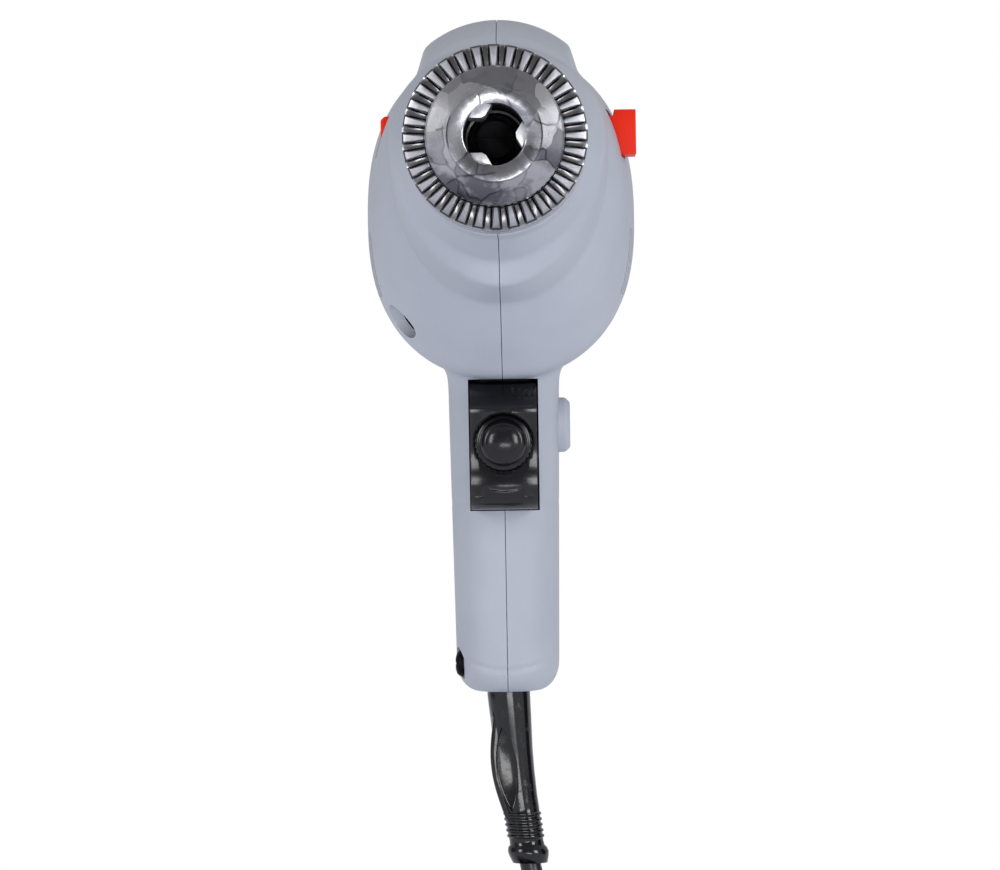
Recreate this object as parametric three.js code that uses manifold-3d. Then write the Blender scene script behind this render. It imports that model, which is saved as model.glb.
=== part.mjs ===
// A corded pistol-grip impact drill with a keyed 13 mm chuck, built as it comes apart on a bench.
//
// Millimetres, +Z up. The chuck points along -Y, +X is the operator's left. Pieces are laid out
// around the spindle: y = 0 is the chuck's front face and x = z = 0 is the spindle's axis. The whole
// group is then moved so that the origin lies in the middle of the grip.

import * as THREE from "three";
import { mergeVertices } from "three/addons/utils/BufferGeometryUtils.js";
import Module from "manifold-3d";

const wasm = await Module();
wasm.setup();

// ---------------------------------------------------------------- fits

const SEAT_GAP = 0.3; // between two pieces that rest on each other
const RUN_GAP = 0.15; // on the radius, between a shaft or slide and its guide
const ROUND = 16; // sides of a turned inner piece
const FINE_ROUND = 24; // sides of a turned piece that shows

// ---------------------------------------------------------------- driving dimensions

// Keyed chuck
const CHUCK_LENGTH = 40;
const NOSE_RING_R = 11.1;
const NOSE_BARREL_R = 16.3;
const NOSE_CONE_LENGTH = 6.5;
const CHUCK_BORE_R = 7.15;
const CHUCK_BORE_DEPTH = 22;
const SLEEVE_R = 21.5;
const SLEEVE_FRONT_Y = 8.6;
const SLEEVE_LENGTH = 24.5;
const SLEEVE_WALL = 3.6;
const SLEEVE_WEB = 4.4; // thickness behind the toothed face
const BEVEL_TEETH = 32;
const BEVEL_TOOTH_DEPTH = 2.3;
const KEY_HOLE_R = 3.1; // the three pilot holes for the chuck key
const JAWS = 3;
const JAW_R = 3.3;
const JAW_ANGLE = THREE.MathUtils.degToRad(15);
const JAW_OPENING_R = 5; // radius left between the jaws as the drill stands
const JAW_FLAT = 1.1; // width of a jaw's gripping edge
const JAW_AXIS_R = 4.1; // distance of a jaw's axis from the spindle axis at the front face
const JAW_FRONT_Y = 3;
const JAW_REAR_Y = 30;
const NUT_LENGTH = 6;
const NUT_GROOVE_R = 10.8;

// Spindle, hammer discs and gear
const SPINDLE_R = 6;
const SPINDLE_THREAD_R = 6.2;
const SPINDLE_SHOULDER_R = 8;
const SPINDLE_SHOULDER_LENGTH = 6;
const SPINDLE_TAIL_R = 4;
const CHUCK_SCREW_R = 2;
const CHUCK_SCREW_LENGTH = 16;
const HAMMER_TRAVEL = 1.2;
const RATCHET_TEETH = 12;
const RATCHET_TOOTH = 1;
const RATCHET_R = 12;
const RATCHET_THICKNESS = 5;
const GEAR_MODULE = 0.8;
const GEAR_TEETH = 39;
const PINION_TEETH = 6;
const GEAR_WIDTH = 8;
const PINION_TIP_R = 3.3;
const PINION_ROOT_R = 1.7;
const TOOTH_CLEARANCE = 0.3; // between a tooth's tip and the other gear's root

// Ball bearings, as outer radius, bore radius and width
const SPINDLE_BEARING = { outer: 14, bore: SPINDLE_R, width: 8 };
const FRONT_BEARING = { outer: 11, bore: 4, width: 7 };
const REAR_BEARING = { outer: 9.5, bore: 3.5, width: 6 };
const RACE = 2.4; // thickness of a bearing's ring

// Motor
const ARMATURE_R = 16.9;
const AIR_GAP = 0.6;
const STACK_LENGTH = 40;
const SLOTS = 12;
const SLOT_WIDTH = 3.2;
const SLOT_DEPTH = 4.4;
const FIELD_R = 27;
const YOKE = 4;
const COMMUTATOR_R = 11.4;
const COMMUTATOR_LENGTH = 11;
const FAN_R = 24;
const FAN_WIDTH = 10;
const FAN_BLADES = 9;
const BRUSH_HEIGHT = 8;
const BRUSH_WIDTH = 6;
const BRUSH_LENGTH = 13;

// Housing
const WALL = 2.6;
const SEAM = 0.3; // the gap between the two halves
const NECK_R = 21.5; // the 43 mm collar that side handles and drill stands clamp on
const NECK_LENGTH = 16;
const FLARE_LENGTH = 13;
const BODY_HALF_WIDTH = 35;
const BODY_TOP = 30;
const BODY_BOTTOM = -54.6;
const BODY_AXIS_Z = -13; // height of the widest line of the body
const BODY_LENGTH = 180; // from the collar's front face to the back of the body
const RIDGE_TOP = 35.5;
const RIDGE_ARC_R = 28;
const RIDGE_CORNER_X = 18.3;
const RIDGE_FOOT_X = 20.2;
const GRIP_TOP = { z: -42, front: 124, back: 175, halfWidth: 14.8 };
const GRIP_FOOT = { z: -139, front: 151, back: 191, halfWidth: 13.6 };
const GRIP_CORNER = 6; // rounding at the foot of the grip
const SCREW_R = 1.7;
const SCREW_HEAD_R = 3.5;
const SCREW_HEAD_LENGTH = 2.4;
const SCREW_LENGTH = 20;
const SCREW_SEAT_X = -11;
const BOSS_R = 4.4;
const COUNTERBORE_R = 4.3;

// Controls
const TRIGGER_WIDTH = 17.4;
const TRIGGER_TOP_Z = -55.4;
const TRIGGER_HEIGHT = 33.5;
const TRIGGER_FRONT_Y = 117.5;
const TRIGGER_TRAVEL = 5;
const TRIGGER_REAR_Y = 137;
const STEM_R = 2.4;
const DIAL_R = 7.35;
const DIAL_DOME = 3.4;
const DIAL_Z = -71.5;
const SWITCH_HALF_WIDTH = 6.5;
const SWITCH_LENGTH = 22;
const BUTTON_R = 7.25;
const BUTTON_FLANGE_R = 8.45;
const BUTTON_PROUD = 2.9;
const BUTTON_Z = -67;
const BUTTON_Y = 152;
const BUTTON_TRAVEL = 2.6;
const SELECTOR_THICKNESS = 6;
const SELECTOR_LEFT_X = 35.1;
const SELECTOR_RIGHT_X = -30.3;
const SELECTOR_TRAVEL = 5;
const KNOB_LENGTH = 7.6;
const KNOB_OVERHANG = 3; // how far the knob is wider than its bar, front and back
const SELECTOR_BAR = { low: 2.6, high: 12.6 };
const SELECTOR_KNOB = { low: 1.8, high: 13.3 };
const DETENT_HALF_WIDTH = 3.4;

// Cord
const CORD_R = 2.8;
const BOOT_R = 5.7;
const BOOT_LENGTH = 44;
const BOOT_LEAN = 4.9; // how far the boot's tip stands to +X of its root
const COIL_MEAN_R = 33;
const COIL_HALF_DEEP = 8; // half the bundle of turns, measured along the coil's radius
const COIL_HALF_WIDE = 11.2; // and along its axis
const COIL_OUTER_R = COIL_MEAN_R + COIL_HALF_DEEP;
const COIL_X = -6;
const COIL_Z = -236;
const LAST_TURN_R = 37.9; // the outermost turn, where the end of the cord leaves the coil
const LAST_TURN_Y = -5.6; // counted from the coil's middle
const TIE_WIDTH = 9;
const TIE_THICKNESS = 1.4;
const TAIL_LENGTH = 19;
const PLUG_LENGTH = 38;
const PLUG_HALF_WIDTH = 18;
const PLUG_HALF_HEIGHT = 12.5;
const PIN_R = 2.4;
const PIN_LENGTH = 19;
const PIN_SPACING = 19;

// ---------------------------------------------------------------- places along the spindle

const NECK_FRONT_Y = CHUCK_LENGTH + SPINDLE_SHOULDER_LENGTH;
const FLARE_Y = NECK_FRONT_Y + NECK_LENGTH;
const STEP_Y = FLARE_Y + FLARE_LENGTH;
const BODY_BACK_Y = NECK_FRONT_Y + BODY_LENGTH;
const SPINDLE_BEARING_Y = FLARE_Y + 4;
const TURNING_RATCHET_Y = SPINDLE_BEARING_Y + SPINDLE_BEARING.width + 5;
const RATCHET_MESH_GAP = HAMMER_TRAVEL + 0.1; // between the tips of the two discs' teeth at rest
const FIXED_RATCHET_Y = TURNING_RATCHET_Y + RATCHET_THICKNESS + 2 * RATCHET_TOOTH + RATCHET_MESH_GAP;
const GEAR_Y = FIXED_RATCHET_Y + RATCHET_THICKNESS + 2.6;
const PLATE_Y = GEAR_Y + GEAR_WIDTH + 4;
const PLATE_THICKNESS = 6;
const PLATE_BACK_Y = PLATE_Y + PLATE_THICKNESS;
const SELECTOR_Y = PLATE_BACK_Y + 2.6;
const FAN_Y = PLATE_BACK_Y + FRONT_BEARING.width + 4;
const STACK_Y = FAN_Y + FAN_WIDTH + 5;
const COIL_END = 4; // how far the field coils and armature windings stand out of the stack
const COMMUTATOR_Y = STACK_Y + STACK_LENGTH + COIL_END + 4;
const REAR_BEARING_Y = COMMUTATOR_Y + COMMUTATOR_LENGTH + 5.5;

const GEAR_PITCH_R = (GEAR_MODULE * GEAR_TEETH) / 2;
const PINION_PITCH_R = (GEAR_MODULE * PINION_TEETH) / 2;
const MOTOR_Z = -(GEAR_PITCH_R + PINION_PITCH_R);
const GEAR_TIP_R = -MOTOR_Z - PINION_ROOT_R - TOOTH_CLEARANCE;
const GEAR_ROOT_R = -MOTOR_Z - PINION_TIP_R - TOOTH_CLEARANCE;

const GRIP_MIDDLE_Z = -100;
const GRIP_MIDDLE_Y = gripPlace(GRIP_MIDDLE_Z).middle;
const GRIP_FOOT_Y = (GRIP_FOOT.front + GRIP_FOOT.back) / 2;
const SWITCH_Y = TRIGGER_REAR_Y + TRIGGER_TRAVEL + 2;

// The screws that hold the halves together, as places (y, z) seen from the side.
const SCREW_PLACES = [
  [116, -40],
  [99, 25.5],
  [REAR_BEARING_Y - 10, 12],
  [REAR_BEARING_Y - 8, -39],
  [171.2, -58],
  [158, -130],
];

// ---------------------------------------------------------------- materials

function finish(color, roughness, metalness) {
  return () => new THREE.MeshStandardMaterial({ color, roughness, metalness });
}

const greyShell = finish(0xa4a9b5, 0.55, 0);
const blackPlastic = finish(0x17151b, 0.3, 0);
const redPlastic = finish(0xe83612, 0.4, 0);
const blackRubber = finish(0x1b1a1e, 0.35, 0);
const brightSteel = finish(0xc9c9cc, 0.18, 1);
const darkSteel = finish(0x6d6f74, 0.4, 1);
const copper = finish(0xb8683a, 0.4, 1);
const laminations = finish(0x83868c, 0.5, 1);
const brass = finish(0xb99a52, 0.35, 1);
const carbon = finish(0x2b2b2d, 0.8, 0);
const bearingSteel = finish(0x9b9ea3, 0.25, 1);
const castMetal = finish(0xa7a9ad, 0.5, 1);

// ---------------------------------------------------------------- solids and how they are joined

function solidOf(geometry) {
  const bare = geometry.clone();
  bare.deleteAttribute("normal");
  bare.deleteAttribute("uv");
  const merged = mergeVertices(bare, 1e-4);
  const corners = merged.index.array;
  const faces = [];
  for (let i = 0; i < corners.length; i += 3) {
    const [a, b, c] = [corners[i], corners[i + 1], corners[i + 2]];
    if (a !== b && b !== c && c !== a) faces.push(a, b, c);
  }
  const mesh = new wasm.Mesh({
    numProp: 3,
    vertProperties: Float32Array.from(merged.attributes.position.array),
    triVerts: Uint32Array.from(faces),
  });
  return new wasm.Manifold(mesh);
}

function union(solids) {
  return solids.reduce((whole, next) => whole.add(next));
}

function without(solid, ...cutters) {
  return cutters.reduce((left, cutter) => left.subtract(cutter), solid);
}

function block(x0, x1, y0, y1, z0, z1) {
  const geometry = new THREE.BoxGeometry(x1 - x0, y1 - y0, z1 - z0);
  geometry.translate((x0 + x1) / 2, (y0 + y1) / 2, (z0 + z1) / 2);
  return solidOf(geometry);
}

// A rod along Y, round the line at (x, z).
function rod(radius, y0, y1, { x = 0, z = 0, sides = ROUND } = {}) {
  const geometry = new THREE.CylinderGeometry(radius, radius, y1 - y0, sides);
  geometry.translate(x, (y0 + y1) / 2, z);
  return solidOf(geometry);
}

// A rod along X, round the line at (y, z).
function crossRod(radius, x0, x1, y, z, sides = ROUND) {
  const geometry = new THREE.CylinderGeometry(radius, radius, x1 - x0, sides);
  geometry.rotateZ(-Math.PI / 2);
  geometry.translate((x0 + x1) / 2, y, z);
  return solidOf(geometry);
}

function uprightRod(radius, z0, z1, x, y, sides = ROUND) {
  const geometry = new THREE.CylinderGeometry(radius, radius, z1 - z0, sides);
  geometry.rotateX(Math.PI / 2);
  geometry.translate(x, y, (z0 + z1) / 2);
  return solidOf(geometry);
}

// A solid turned round the Y axis from (radius, y) points; a profile that stays off the axis is a ring.
function turned(profile, sides = ROUND) {
  const points = profile.map(([radius, y]) => new THREE.Vector2(radius, y));
  if (THREE.ShapeUtils.area(points) < 0) points.reverse();
  const onAxis = points.some((point) => point.x === 0);
  if (onAxis) {
    while (points[0].x !== 0 || points[points.length - 1].x !== 0) points.push(points.shift());
  } else {
    points.push(points[0].clone());
  }
  return solidOf(new THREE.LatheGeometry(points, sides));
}

function ring(outer, inner, y0, y1, sides = ROUND) {
  return turned([[inner, y0], [outer, y0], [outer, y1], [inner, y1]], sides);
}

function shapeOf(outline) {
  return new THREE.Shape(outline.map(([a, b]) => new THREE.Vector2(a, b)));
}

// An outline of (x, z) points made into a slab from y0 to y1.
function slab(outline, y0, y1) {
  const geometry = new THREE.ExtrudeGeometry(shapeOf(outline), { depth: y1 - y0, bevelEnabled: false });
  geometry.rotateX(Math.PI / 2);
  geometry.translate(0, y1, 0);
  return solidOf(geometry);
}

// An outline of (y, z) points made into a plate from x0 to x1.
function plate(outline, x0, x1) {
  const geometry = new THREE.ExtrudeGeometry(shapeOf(outline), { depth: x1 - x0, bevelEnabled: false });
  geometry.rotateY(Math.PI / 2);
  geometry.rotateX(Math.PI / 2);
  geometry.translate(x0, 0, 0);
  return solidOf(geometry);
}

// A cylinder whose rings are moved on to the stations. A station is a rounded outline across the
// body: its place along the body, its half width, its top and bottom, the height of its widest line,
// and how square it is above and below that line (2 is an ellipse). A station may be shifted along X.
function lofted(stations, sides = FINE_ROUND) {
  const spans = stations.length - 1;
  const geometry = new THREE.CylinderGeometry(1, 1, spans, sides, spans);
  const position = geometry.attributes.position;
  const point = new THREE.Vector3();
  for (let i = 0; i < position.count; i += 1) {
    point.fromBufferAttribute(position, i);
    const station = stations[Math.round(point.y + spans / 2)];
    const reach = Math.hypot(point.x, point.z);
    const square = point.z > 0 ? station.squareTop : station.squareBottom;
    const height = point.z > 0 ? station.top - station.middle : station.middle - station.bottom;
    const across = Math.sign(point.x) * Math.abs(point.x) ** (2 / square) * station.halfWidth;
    const up = Math.sign(point.z) * Math.abs(point.z) ** (2 / square) * height;
    const shift = station.shift ?? 0;
    position.setXYZ(i, shift + reach * across, station.at, station.middle + reach * up);
  }
  return solidOf(geometry);
}

function spring(centre, axis, radius, wire, length, turns) {
  const steps = turns * 7;
  const points = [];
  for (let i = 0; i <= steps; i += 1) {
    const angle = (i / steps) * turns * 2 * Math.PI;
    const point = new THREE.Vector3(
      Math.cos(angle) * radius,
      (i / steps) * length,
      Math.sin(angle) * radius,
    );
    points.push(point);
  }
  const path = new THREE.CatmullRomCurve3(points);
  const section = new THREE.Shape();
  section.absarc(0, 0, wire, 0, 2 * Math.PI);
  const geometry = new THREE.ExtrudeGeometry(section, {
    steps,
    curveSegments: 2.5,
    bevelEnabled: false,
    extrudePath: path,
  });
  if (axis === "x") geometry.rotateZ(-Math.PI / 2);
  geometry.translate(centre.x, centre.y, centre.z);
  return solidOf(geometry);
}

// A tube along a smooth curve through the points.
function hose(points, radius, steps, sides) {
  const path = new THREE.CatmullRomCurve3(points, false, "centripetal");
  const section = new THREE.Shape();
  section.absarc(0, 0, radius, 0, 2 * Math.PI);
  const settings = { steps, curveSegments: sides / 2, bevelEnabled: false, extrudePath: path };
  return solidOf(new THREE.ExtrudeGeometry(section, settings));
}

function turnedAbout(solid, degrees, z = 0) {
  return solid.translate([0, 0, -z]).rotate([0, degrees, 0]).translate([0, 0, z]);
}

// ---------------------------------------------------------------- the group

const drill = new THREE.Group();
drill.position.set(0, -GRIP_MIDDLE_Y, -GRIP_MIDDLE_Z);

function addPart(name, solid, makeMaterial) {
  const mesh = solid.getMesh();
  const geometry = new THREE.BufferGeometry();
  geometry.setAttribute("position", new THREE.BufferAttribute(mesh.vertProperties, 3));
  geometry.setIndex(new THREE.BufferAttribute(mesh.triVerts, 1));
  geometry.computeVertexNormals();
  const part = new THREE.Mesh(geometry, makeMaterial());
  part.name = name;
  drill.add(part);
}

// ---------------------------------------------------------------- chuck

function jawAxisRadius(y) {
  return JAW_AXIS_R + y * Math.tan(JAW_ANGLE);
}

// A rod along a jaw's slanted axis, between two places along the spindle.
function slantedRod(radius, y0, y1) {
  const length = (y1 - y0) / Math.cos(JAW_ANGLE);
  const geometry = new THREE.CylinderGeometry(radius, radius, length, ROUND);
  geometry.translate(0, length / 2, 0);
  geometry.rotateZ(-JAW_ANGLE);
  geometry.translate(jawAxisRadius(y0), y0, 0);
  return solidOf(geometry);
}

function chuckBody() {
  const flangeR = SLEEVE_R - SLEEVE_WALL - SEAT_GAP;
  const grooveY = SLEEVE_FRONT_Y + SLEEVE_WEB;
  const grooveEndY = grooveY + NUT_LENGTH + 2 * SEAT_GAP;
  const outside = turned(
    [
      [0, 0],
      [NOSE_RING_R, 0],
      [NOSE_BARREL_R, NOSE_CONE_LENGTH],
      [NOSE_BARREL_R, grooveY],
      [NUT_GROOVE_R, grooveY],
      [NUT_GROOVE_R, grooveEndY],
      [flangeR, grooveEndY],
      [flangeR, CHUCK_LENGTH - 3],
      [flangeR - 3, CHUCK_LENGTH],
      [0, CHUCK_LENGTH],
    ],
    FINE_ROUND,
  );
  const bore = turned(
    [
      [0, -1],
      [CHUCK_BORE_R + 1.5, -1],
      [CHUCK_BORE_R, 0.5],
      [CHUCK_BORE_R, CHUCK_BORE_DEPTH],
      [CHUCK_SCREW_R + 1, CHUCK_BORE_DEPTH],
      [CHUCK_SCREW_R + 1, CHUCK_BORE_DEPTH + 3],
      [SPINDLE_THREAD_R + SEAT_GAP, CHUCK_BORE_DEPTH + 3],
      [SPINDLE_THREAD_R + SEAT_GAP, CHUCK_LENGTH + 1],
      [0, CHUCK_LENGTH + 1],
    ],
    FINE_ROUND,
  );
  const cuts = [bore];
  for (let i = 0; i < JAWS; i += 1) {
    const turn = (i * 360) / JAWS;
    const jawHole = slantedRod(JAW_R + RUN_GAP, 0.6, CHUCK_LENGTH - 3.5);
    const keyHole = crossRod(KEY_HOLE_R, CHUCK_BORE_R + 3, 30, 0, 0, 10);
    const keyHoleY = SLEEVE_FRONT_Y - KEY_HOLE_R + 0.9;
    cuts.push(turnedAbout(jawHole, turn));
    cuts.push(turnedAbout(keyHole.translate([0, keyHoleY, 0]), turn + 60));
  }
  return without(outside, union(cuts));
}

function chuckSleeve() {
  const webInnerR = NOSE_BARREL_R + SEAT_GAP;
  const innerR = SLEEVE_R - SLEEVE_WALL;
  const blank = turned(
    [
      [webInnerR, SLEEVE_FRONT_Y],
      [SLEEVE_R - 0.8, SLEEVE_FRONT_Y + 0.7],
      [SLEEVE_R, SLEEVE_FRONT_Y + 1.4],
      [SLEEVE_R, SLEEVE_FRONT_Y + SLEEVE_LENGTH - 1],
      [SLEEVE_R - 1, SLEEVE_FRONT_Y + SLEEVE_LENGTH],
      [innerR, SLEEVE_FRONT_Y + SLEEVE_LENGTH],
      [innerR, SLEEVE_FRONT_Y + SLEEVE_WEB],
      [webInnerR, SLEEVE_FRONT_Y + SLEEVE_WEB],
    ],
    BEVEL_TEETH,
  );
  const pitch = (2 * Math.PI * (webInnerR + SLEEVE_R)) / 2 / BEVEL_TEETH;
  const floorY = SLEEVE_FRONT_Y + BEVEL_TOOTH_DEPTH;
  const gash = [
    [-0.36 * pitch, SLEEVE_FRONT_Y - 1],
    [0.36 * pitch, SLEEVE_FRONT_Y - 1],
    [0.14 * pitch, floorY],
    [-0.14 * pitch, floorY],
  ];
  const geometry = new THREE.ExtrudeGeometry(shapeOf(gash), { depth: SLEEVE_WALL + 4, bevelEnabled: false });
  geometry.translate(0, 0, webInnerR - 1);
  const cutter = solidOf(geometry);
  const gashes = [];
  for (let i = 0; i < BEVEL_TEETH; i += 1) {
    gashes.push(cutter.rotate([0, ((i + 0.5) * 360) / BEVEL_TEETH, 0]));
  }
  return without(blank, union(gashes));
}

// Half of the threaded ring that drives the jaws; its bore is a cone that follows them.
function nutHalf(side) {
  const frontY = SLEEVE_FRONT_Y + SLEEVE_WEB + SEAT_GAP;
  const backY = frontY + NUT_LENGTH;
  const outerR = SLEEVE_R - SLEEVE_WALL - SEAT_GAP;
  const reach = JAW_R / Math.cos(JAW_ANGLE) + SEAT_GAP;
  const whole = turned([
    [jawAxisRadius(frontY) + reach, frontY],
    [outerR, frontY],
    [outerR, backY],
    [jawAxisRadius(backY) + reach, backY],
  ]);
  const edge = SEAT_GAP / 2;
  const half = side > 0 ? block(edge, 40, 0, 60, -40, 40) : block(-40, -edge, 0, 60, -40, 40);
  return whole.intersect(half);
}

// One jaw, lying along +X: a slanted rod cut to a wedge with a narrow gripping edge.
function jaw() {
  const blank = slantedRod(JAW_R, JAW_FRONT_Y - 3, JAW_REAR_Y);
  const far = 30;
  const spread = far * Math.tan(Math.PI / 3);
  const wedge = slab(
    [
      [JAW_OPENING_R, -JAW_FLAT / 2],
      [JAW_OPENING_R + far, -JAW_FLAT / 2 - spread],
      [JAW_OPENING_R + far, JAW_FLAT / 2 + spread],
      [JAW_OPENING_R, JAW_FLAT / 2],
    ],
    JAW_FRONT_Y,
    JAW_REAR_Y + 5,
  );
  return blank.intersect(wedge);
}

function chuckScrew() {
  const headY = CHUCK_BORE_DEPTH - SEAT_GAP;
  const head = rod(2.2 * CHUCK_SCREW_R, headY - 2.6, headY);
  const shank = rod(CHUCK_SCREW_R, headY, headY + CHUCK_SCREW_LENGTH);
  const slot = block(-10, 10, headY - 4, headY - 1.4, -0.6, 0.6);
  return without(head.add(shank), slot);
}

function addChuck() {
  addPart("chuck_body", chuckBody(), brightSteel);
  addPart("chuck_sleeve", chuckSleeve(), brightSteel);
  addPart("chuck_nut_left", nutHalf(1), darkSteel);
  addPart("chuck_nut_right", nutHalf(-1), darkSteel);
  for (let i = 0; i < JAWS; i += 1) {
    addPart(`chuck_jaw_${i + 1}`, turnedAbout(jaw(), (i * 360) / JAWS), darkSteel);
  }
  addPart("chuck_screw", chuckScrew(), darkSteel);
}

// ---------------------------------------------------------------- spindle and hammer discs

const SPINDLE_TAIL_END_Y = SELECTOR_Y - SEAT_GAP;

function spindle() {
  const threadY = CHUCK_BORE_DEPTH + 3 + SEAT_GAP;
  const tailY = GEAR_Y + GEAR_WIDTH + SEAT_GAP;
  const holeR = CHUCK_SCREW_R + SEAT_GAP;
  const holeEndY = CHUCK_BORE_DEPTH + CHUCK_SCREW_LENGTH + 2;
  return turned([
    [holeR, threadY],
    [SPINDLE_THREAD_R, threadY],
    [SPINDLE_THREAD_R, CHUCK_LENGTH + SEAT_GAP],
    [SPINDLE_SHOULDER_R, CHUCK_LENGTH + SEAT_GAP],
    [SPINDLE_SHOULDER_R, SPINDLE_BEARING_Y - SEAT_GAP],
    [SPINDLE_R, SPINDLE_BEARING_Y - SEAT_GAP],
    [SPINDLE_R, tailY],
    [SPINDLE_TAIL_R, tailY],
    [SPINDLE_TAIL_R, SPINDLE_TAIL_END_Y - 2],
    [1.6, SPINDLE_TAIL_END_Y],
    [0, SPINDLE_TAIL_END_Y],
    [0, holeEndY],
    [holeR, holeEndY],
  ]);
}

// A toothed disc; faceY is the plane of the tooth tips and toothSide says which way they point.
function ratchet(faceY, toothSide, outerR) {
  const innerR = toothSide > 0 ? SPINDLE_R + SEAT_GAP : SPINDLE_R + 1;
  const rootY = faceY - toothSide * RATCHET_TOOTH;
  const backY = rootY - toothSide * RATCHET_THICKNESS;
  const disc = ring(outerR, innerR, Math.min(faceY, backY), Math.max(faceY, backY), 2 * RATCHET_TEETH);
  const halfPitch = (Math.PI * outerR) / RATCHET_TEETH;
  const notch = [
    [-halfPitch, faceY + toothSide * RATCHET_TOOTH],
    [halfPitch, faceY + toothSide * RATCHET_TOOTH],
    [0.12 * halfPitch, rootY],
    [-0.12 * halfPitch, rootY],
  ];
  const geometry = new THREE.ExtrudeGeometry(shapeOf(notch), { depth: outerR, bevelEnabled: false });
  geometry.translate(0, 0, SPINDLE_R - 1);
  const cutter = solidOf(geometry);
  const offset = toothSide > 0 ? 0 : 0.5;
  const notches = [];
  for (let i = 0; i < RATCHET_TEETH; i += 1) {
    notches.push(cutter.rotate([0, ((i + offset) * 360) / RATCHET_TEETH, 0]));
  }
  return without(disc, union(notches));
}

function gearOutline(teeth, rootR, tipR, rootHalf, tipHalf, phase) {
  const outline = [];
  for (let i = 0; i < teeth; i += 1) {
    const middle = phase + (i / teeth) * 2 * Math.PI;
    const corners = [
      [rootR, -rootHalf],
      [tipR, -tipHalf],
      [tipR, tipHalf],
      [rootR, rootHalf],
    ];
    for (const [radius, half] of corners) {
      const angle = middle + half / radius;
      outline.push([radius * Math.cos(angle), radius * Math.sin(angle)]);
    }
  }
  return outline;
}

function driveGear() {
  const outline = gearOutline(GEAR_TEETH, GEAR_ROOT_R, GEAR_TIP_R, 0.62, 0.2, -Math.PI / 2);
  const bore = rod(SPINDLE_R + SEAT_GAP, GEAR_Y - 1, GEAR_Y + GEAR_WIDTH + 1);
  return without(slab(outline, GEAR_Y, GEAR_Y + GEAR_WIDTH), bore);
}

function bearingRing(bearing, y, outer) {
  if (outer) return ring(bearing.outer, bearing.outer - RACE, y, y + bearing.width);
  const bore = bearing.bore + SEAT_GAP;
  return ring(bearing.outer - RACE - 2 * RUN_GAP, bore, y, y + bearing.width);
}

function addSpindle() {
  const turningTipsY = TURNING_RATCHET_Y + RATCHET_THICKNESS + RATCHET_TOOTH;
  addPart("spindle", spindle(), bearingSteel);
  addPart("spindle_bearing_inner", bearingRing(SPINDLE_BEARING, SPINDLE_BEARING_Y, false), bearingSteel);
  addPart("spindle_bearing_outer", bearingRing(SPINDLE_BEARING, SPINDLE_BEARING_Y, true), bearingSteel);
  addPart("turning_ratchet", ratchet(turningTipsY, 1, RATCHET_R), darkSteel);
  addPart("fixed_ratchet", ratchet(turningTipsY + RATCHET_MESH_GAP, -1, RATCHET_R + 2), darkSteel);
  addPart("drive_gear", driveGear(), darkSteel);
}

// ---------------------------------------------------------------- motor

function motorRod(radius, y0, y1, sides = ROUND) {
  return rod(radius, y0, y1, { z: MOTOR_Z, sides });
}

function aboutMotor(solid) {
  return solid.translate([0, 0, MOTOR_Z]);
}

function armatureShaft() {
  const pinionY = GEAR_Y - 0.5;
  const pinionEndY = GEAR_Y + GEAR_WIDTH + HAMMER_TRAVEL + 1;
  const outline = gearOutline(PINION_TEETH, PINION_ROOT_R, PINION_TIP_R, 0.5, 0.22, -Math.PI / 2 + Math.PI);
  const toothed = outline.map(([x, z]) => {
    const halfPitch = Math.PI / PINION_TEETH;
    const radius = Math.hypot(x, z);
    const angle = Math.atan2(z, x) + halfPitch;
    return [radius * Math.cos(angle), radius * Math.sin(angle)];
  });
  const rearY = REAR_BEARING_Y - SEAT_GAP;
  const shaft = turned([
    [0, pinionEndY],
    [FRONT_BEARING.bore, pinionEndY],
    [FRONT_BEARING.bore, rearY],
    [REAR_BEARING.bore, rearY],
    [REAR_BEARING.bore, REAR_BEARING_Y + REAR_BEARING.width + 1],
    [0, REAR_BEARING_Y + REAR_BEARING.width + 1],
  ]);
  return aboutMotor(shaft.add(slab(toothed, pinionY, pinionEndY + 1)));
}

// Boxes at the armature's slots, reaching from `inner` out to `outer`.
function slotBars(inner, outer, width, y0, y1) {
  const bars = [];
  for (let i = 0; i < SLOTS; i += 1) {
    const bar = block(inner, outer, y0, y1, -width / 2, width / 2);
    bars.push(bar.rotate([0, (i * 360) / SLOTS, 0]));
  }
  return union(bars);
}

function armatureCore() {
  const body = ring(ARMATURE_R, FRONT_BEARING.bore + SEAT_GAP, STACK_Y, STACK_Y + STACK_LENGTH, 36);
  const floor = ARMATURE_R - SLOT_DEPTH;
  const slots = slotBars(floor, ARMATURE_R + 2, SLOT_WIDTH, STACK_Y - 1, STACK_Y + STACK_LENGTH + 1);
  return aboutMotor(without(body, slots));
}

function armatureWinding() {
  const inner = ARMATURE_R - SLOT_DEPTH + SEAT_GAP;
  const outer = ARMATURE_R - 0.8;
  const frontY = STACK_Y - SEAT_GAP;
  const backY = STACK_Y + STACK_LENGTH + SEAT_GAP;
  const bars = slotBars(inner, outer - 0.6, SLOT_WIDTH - 2 * SEAT_GAP, frontY - 0.5, backY + 0.5);
  const frontHead = ring(outer, FRONT_BEARING.bore + 1.5, frontY - COIL_END + 1, frontY);
  const rearHead = ring(outer, FRONT_BEARING.bore + 1.5, backY, backY + COIL_END);
  return aboutMotor(union([bars, frontHead, rearHead]));
}

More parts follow.
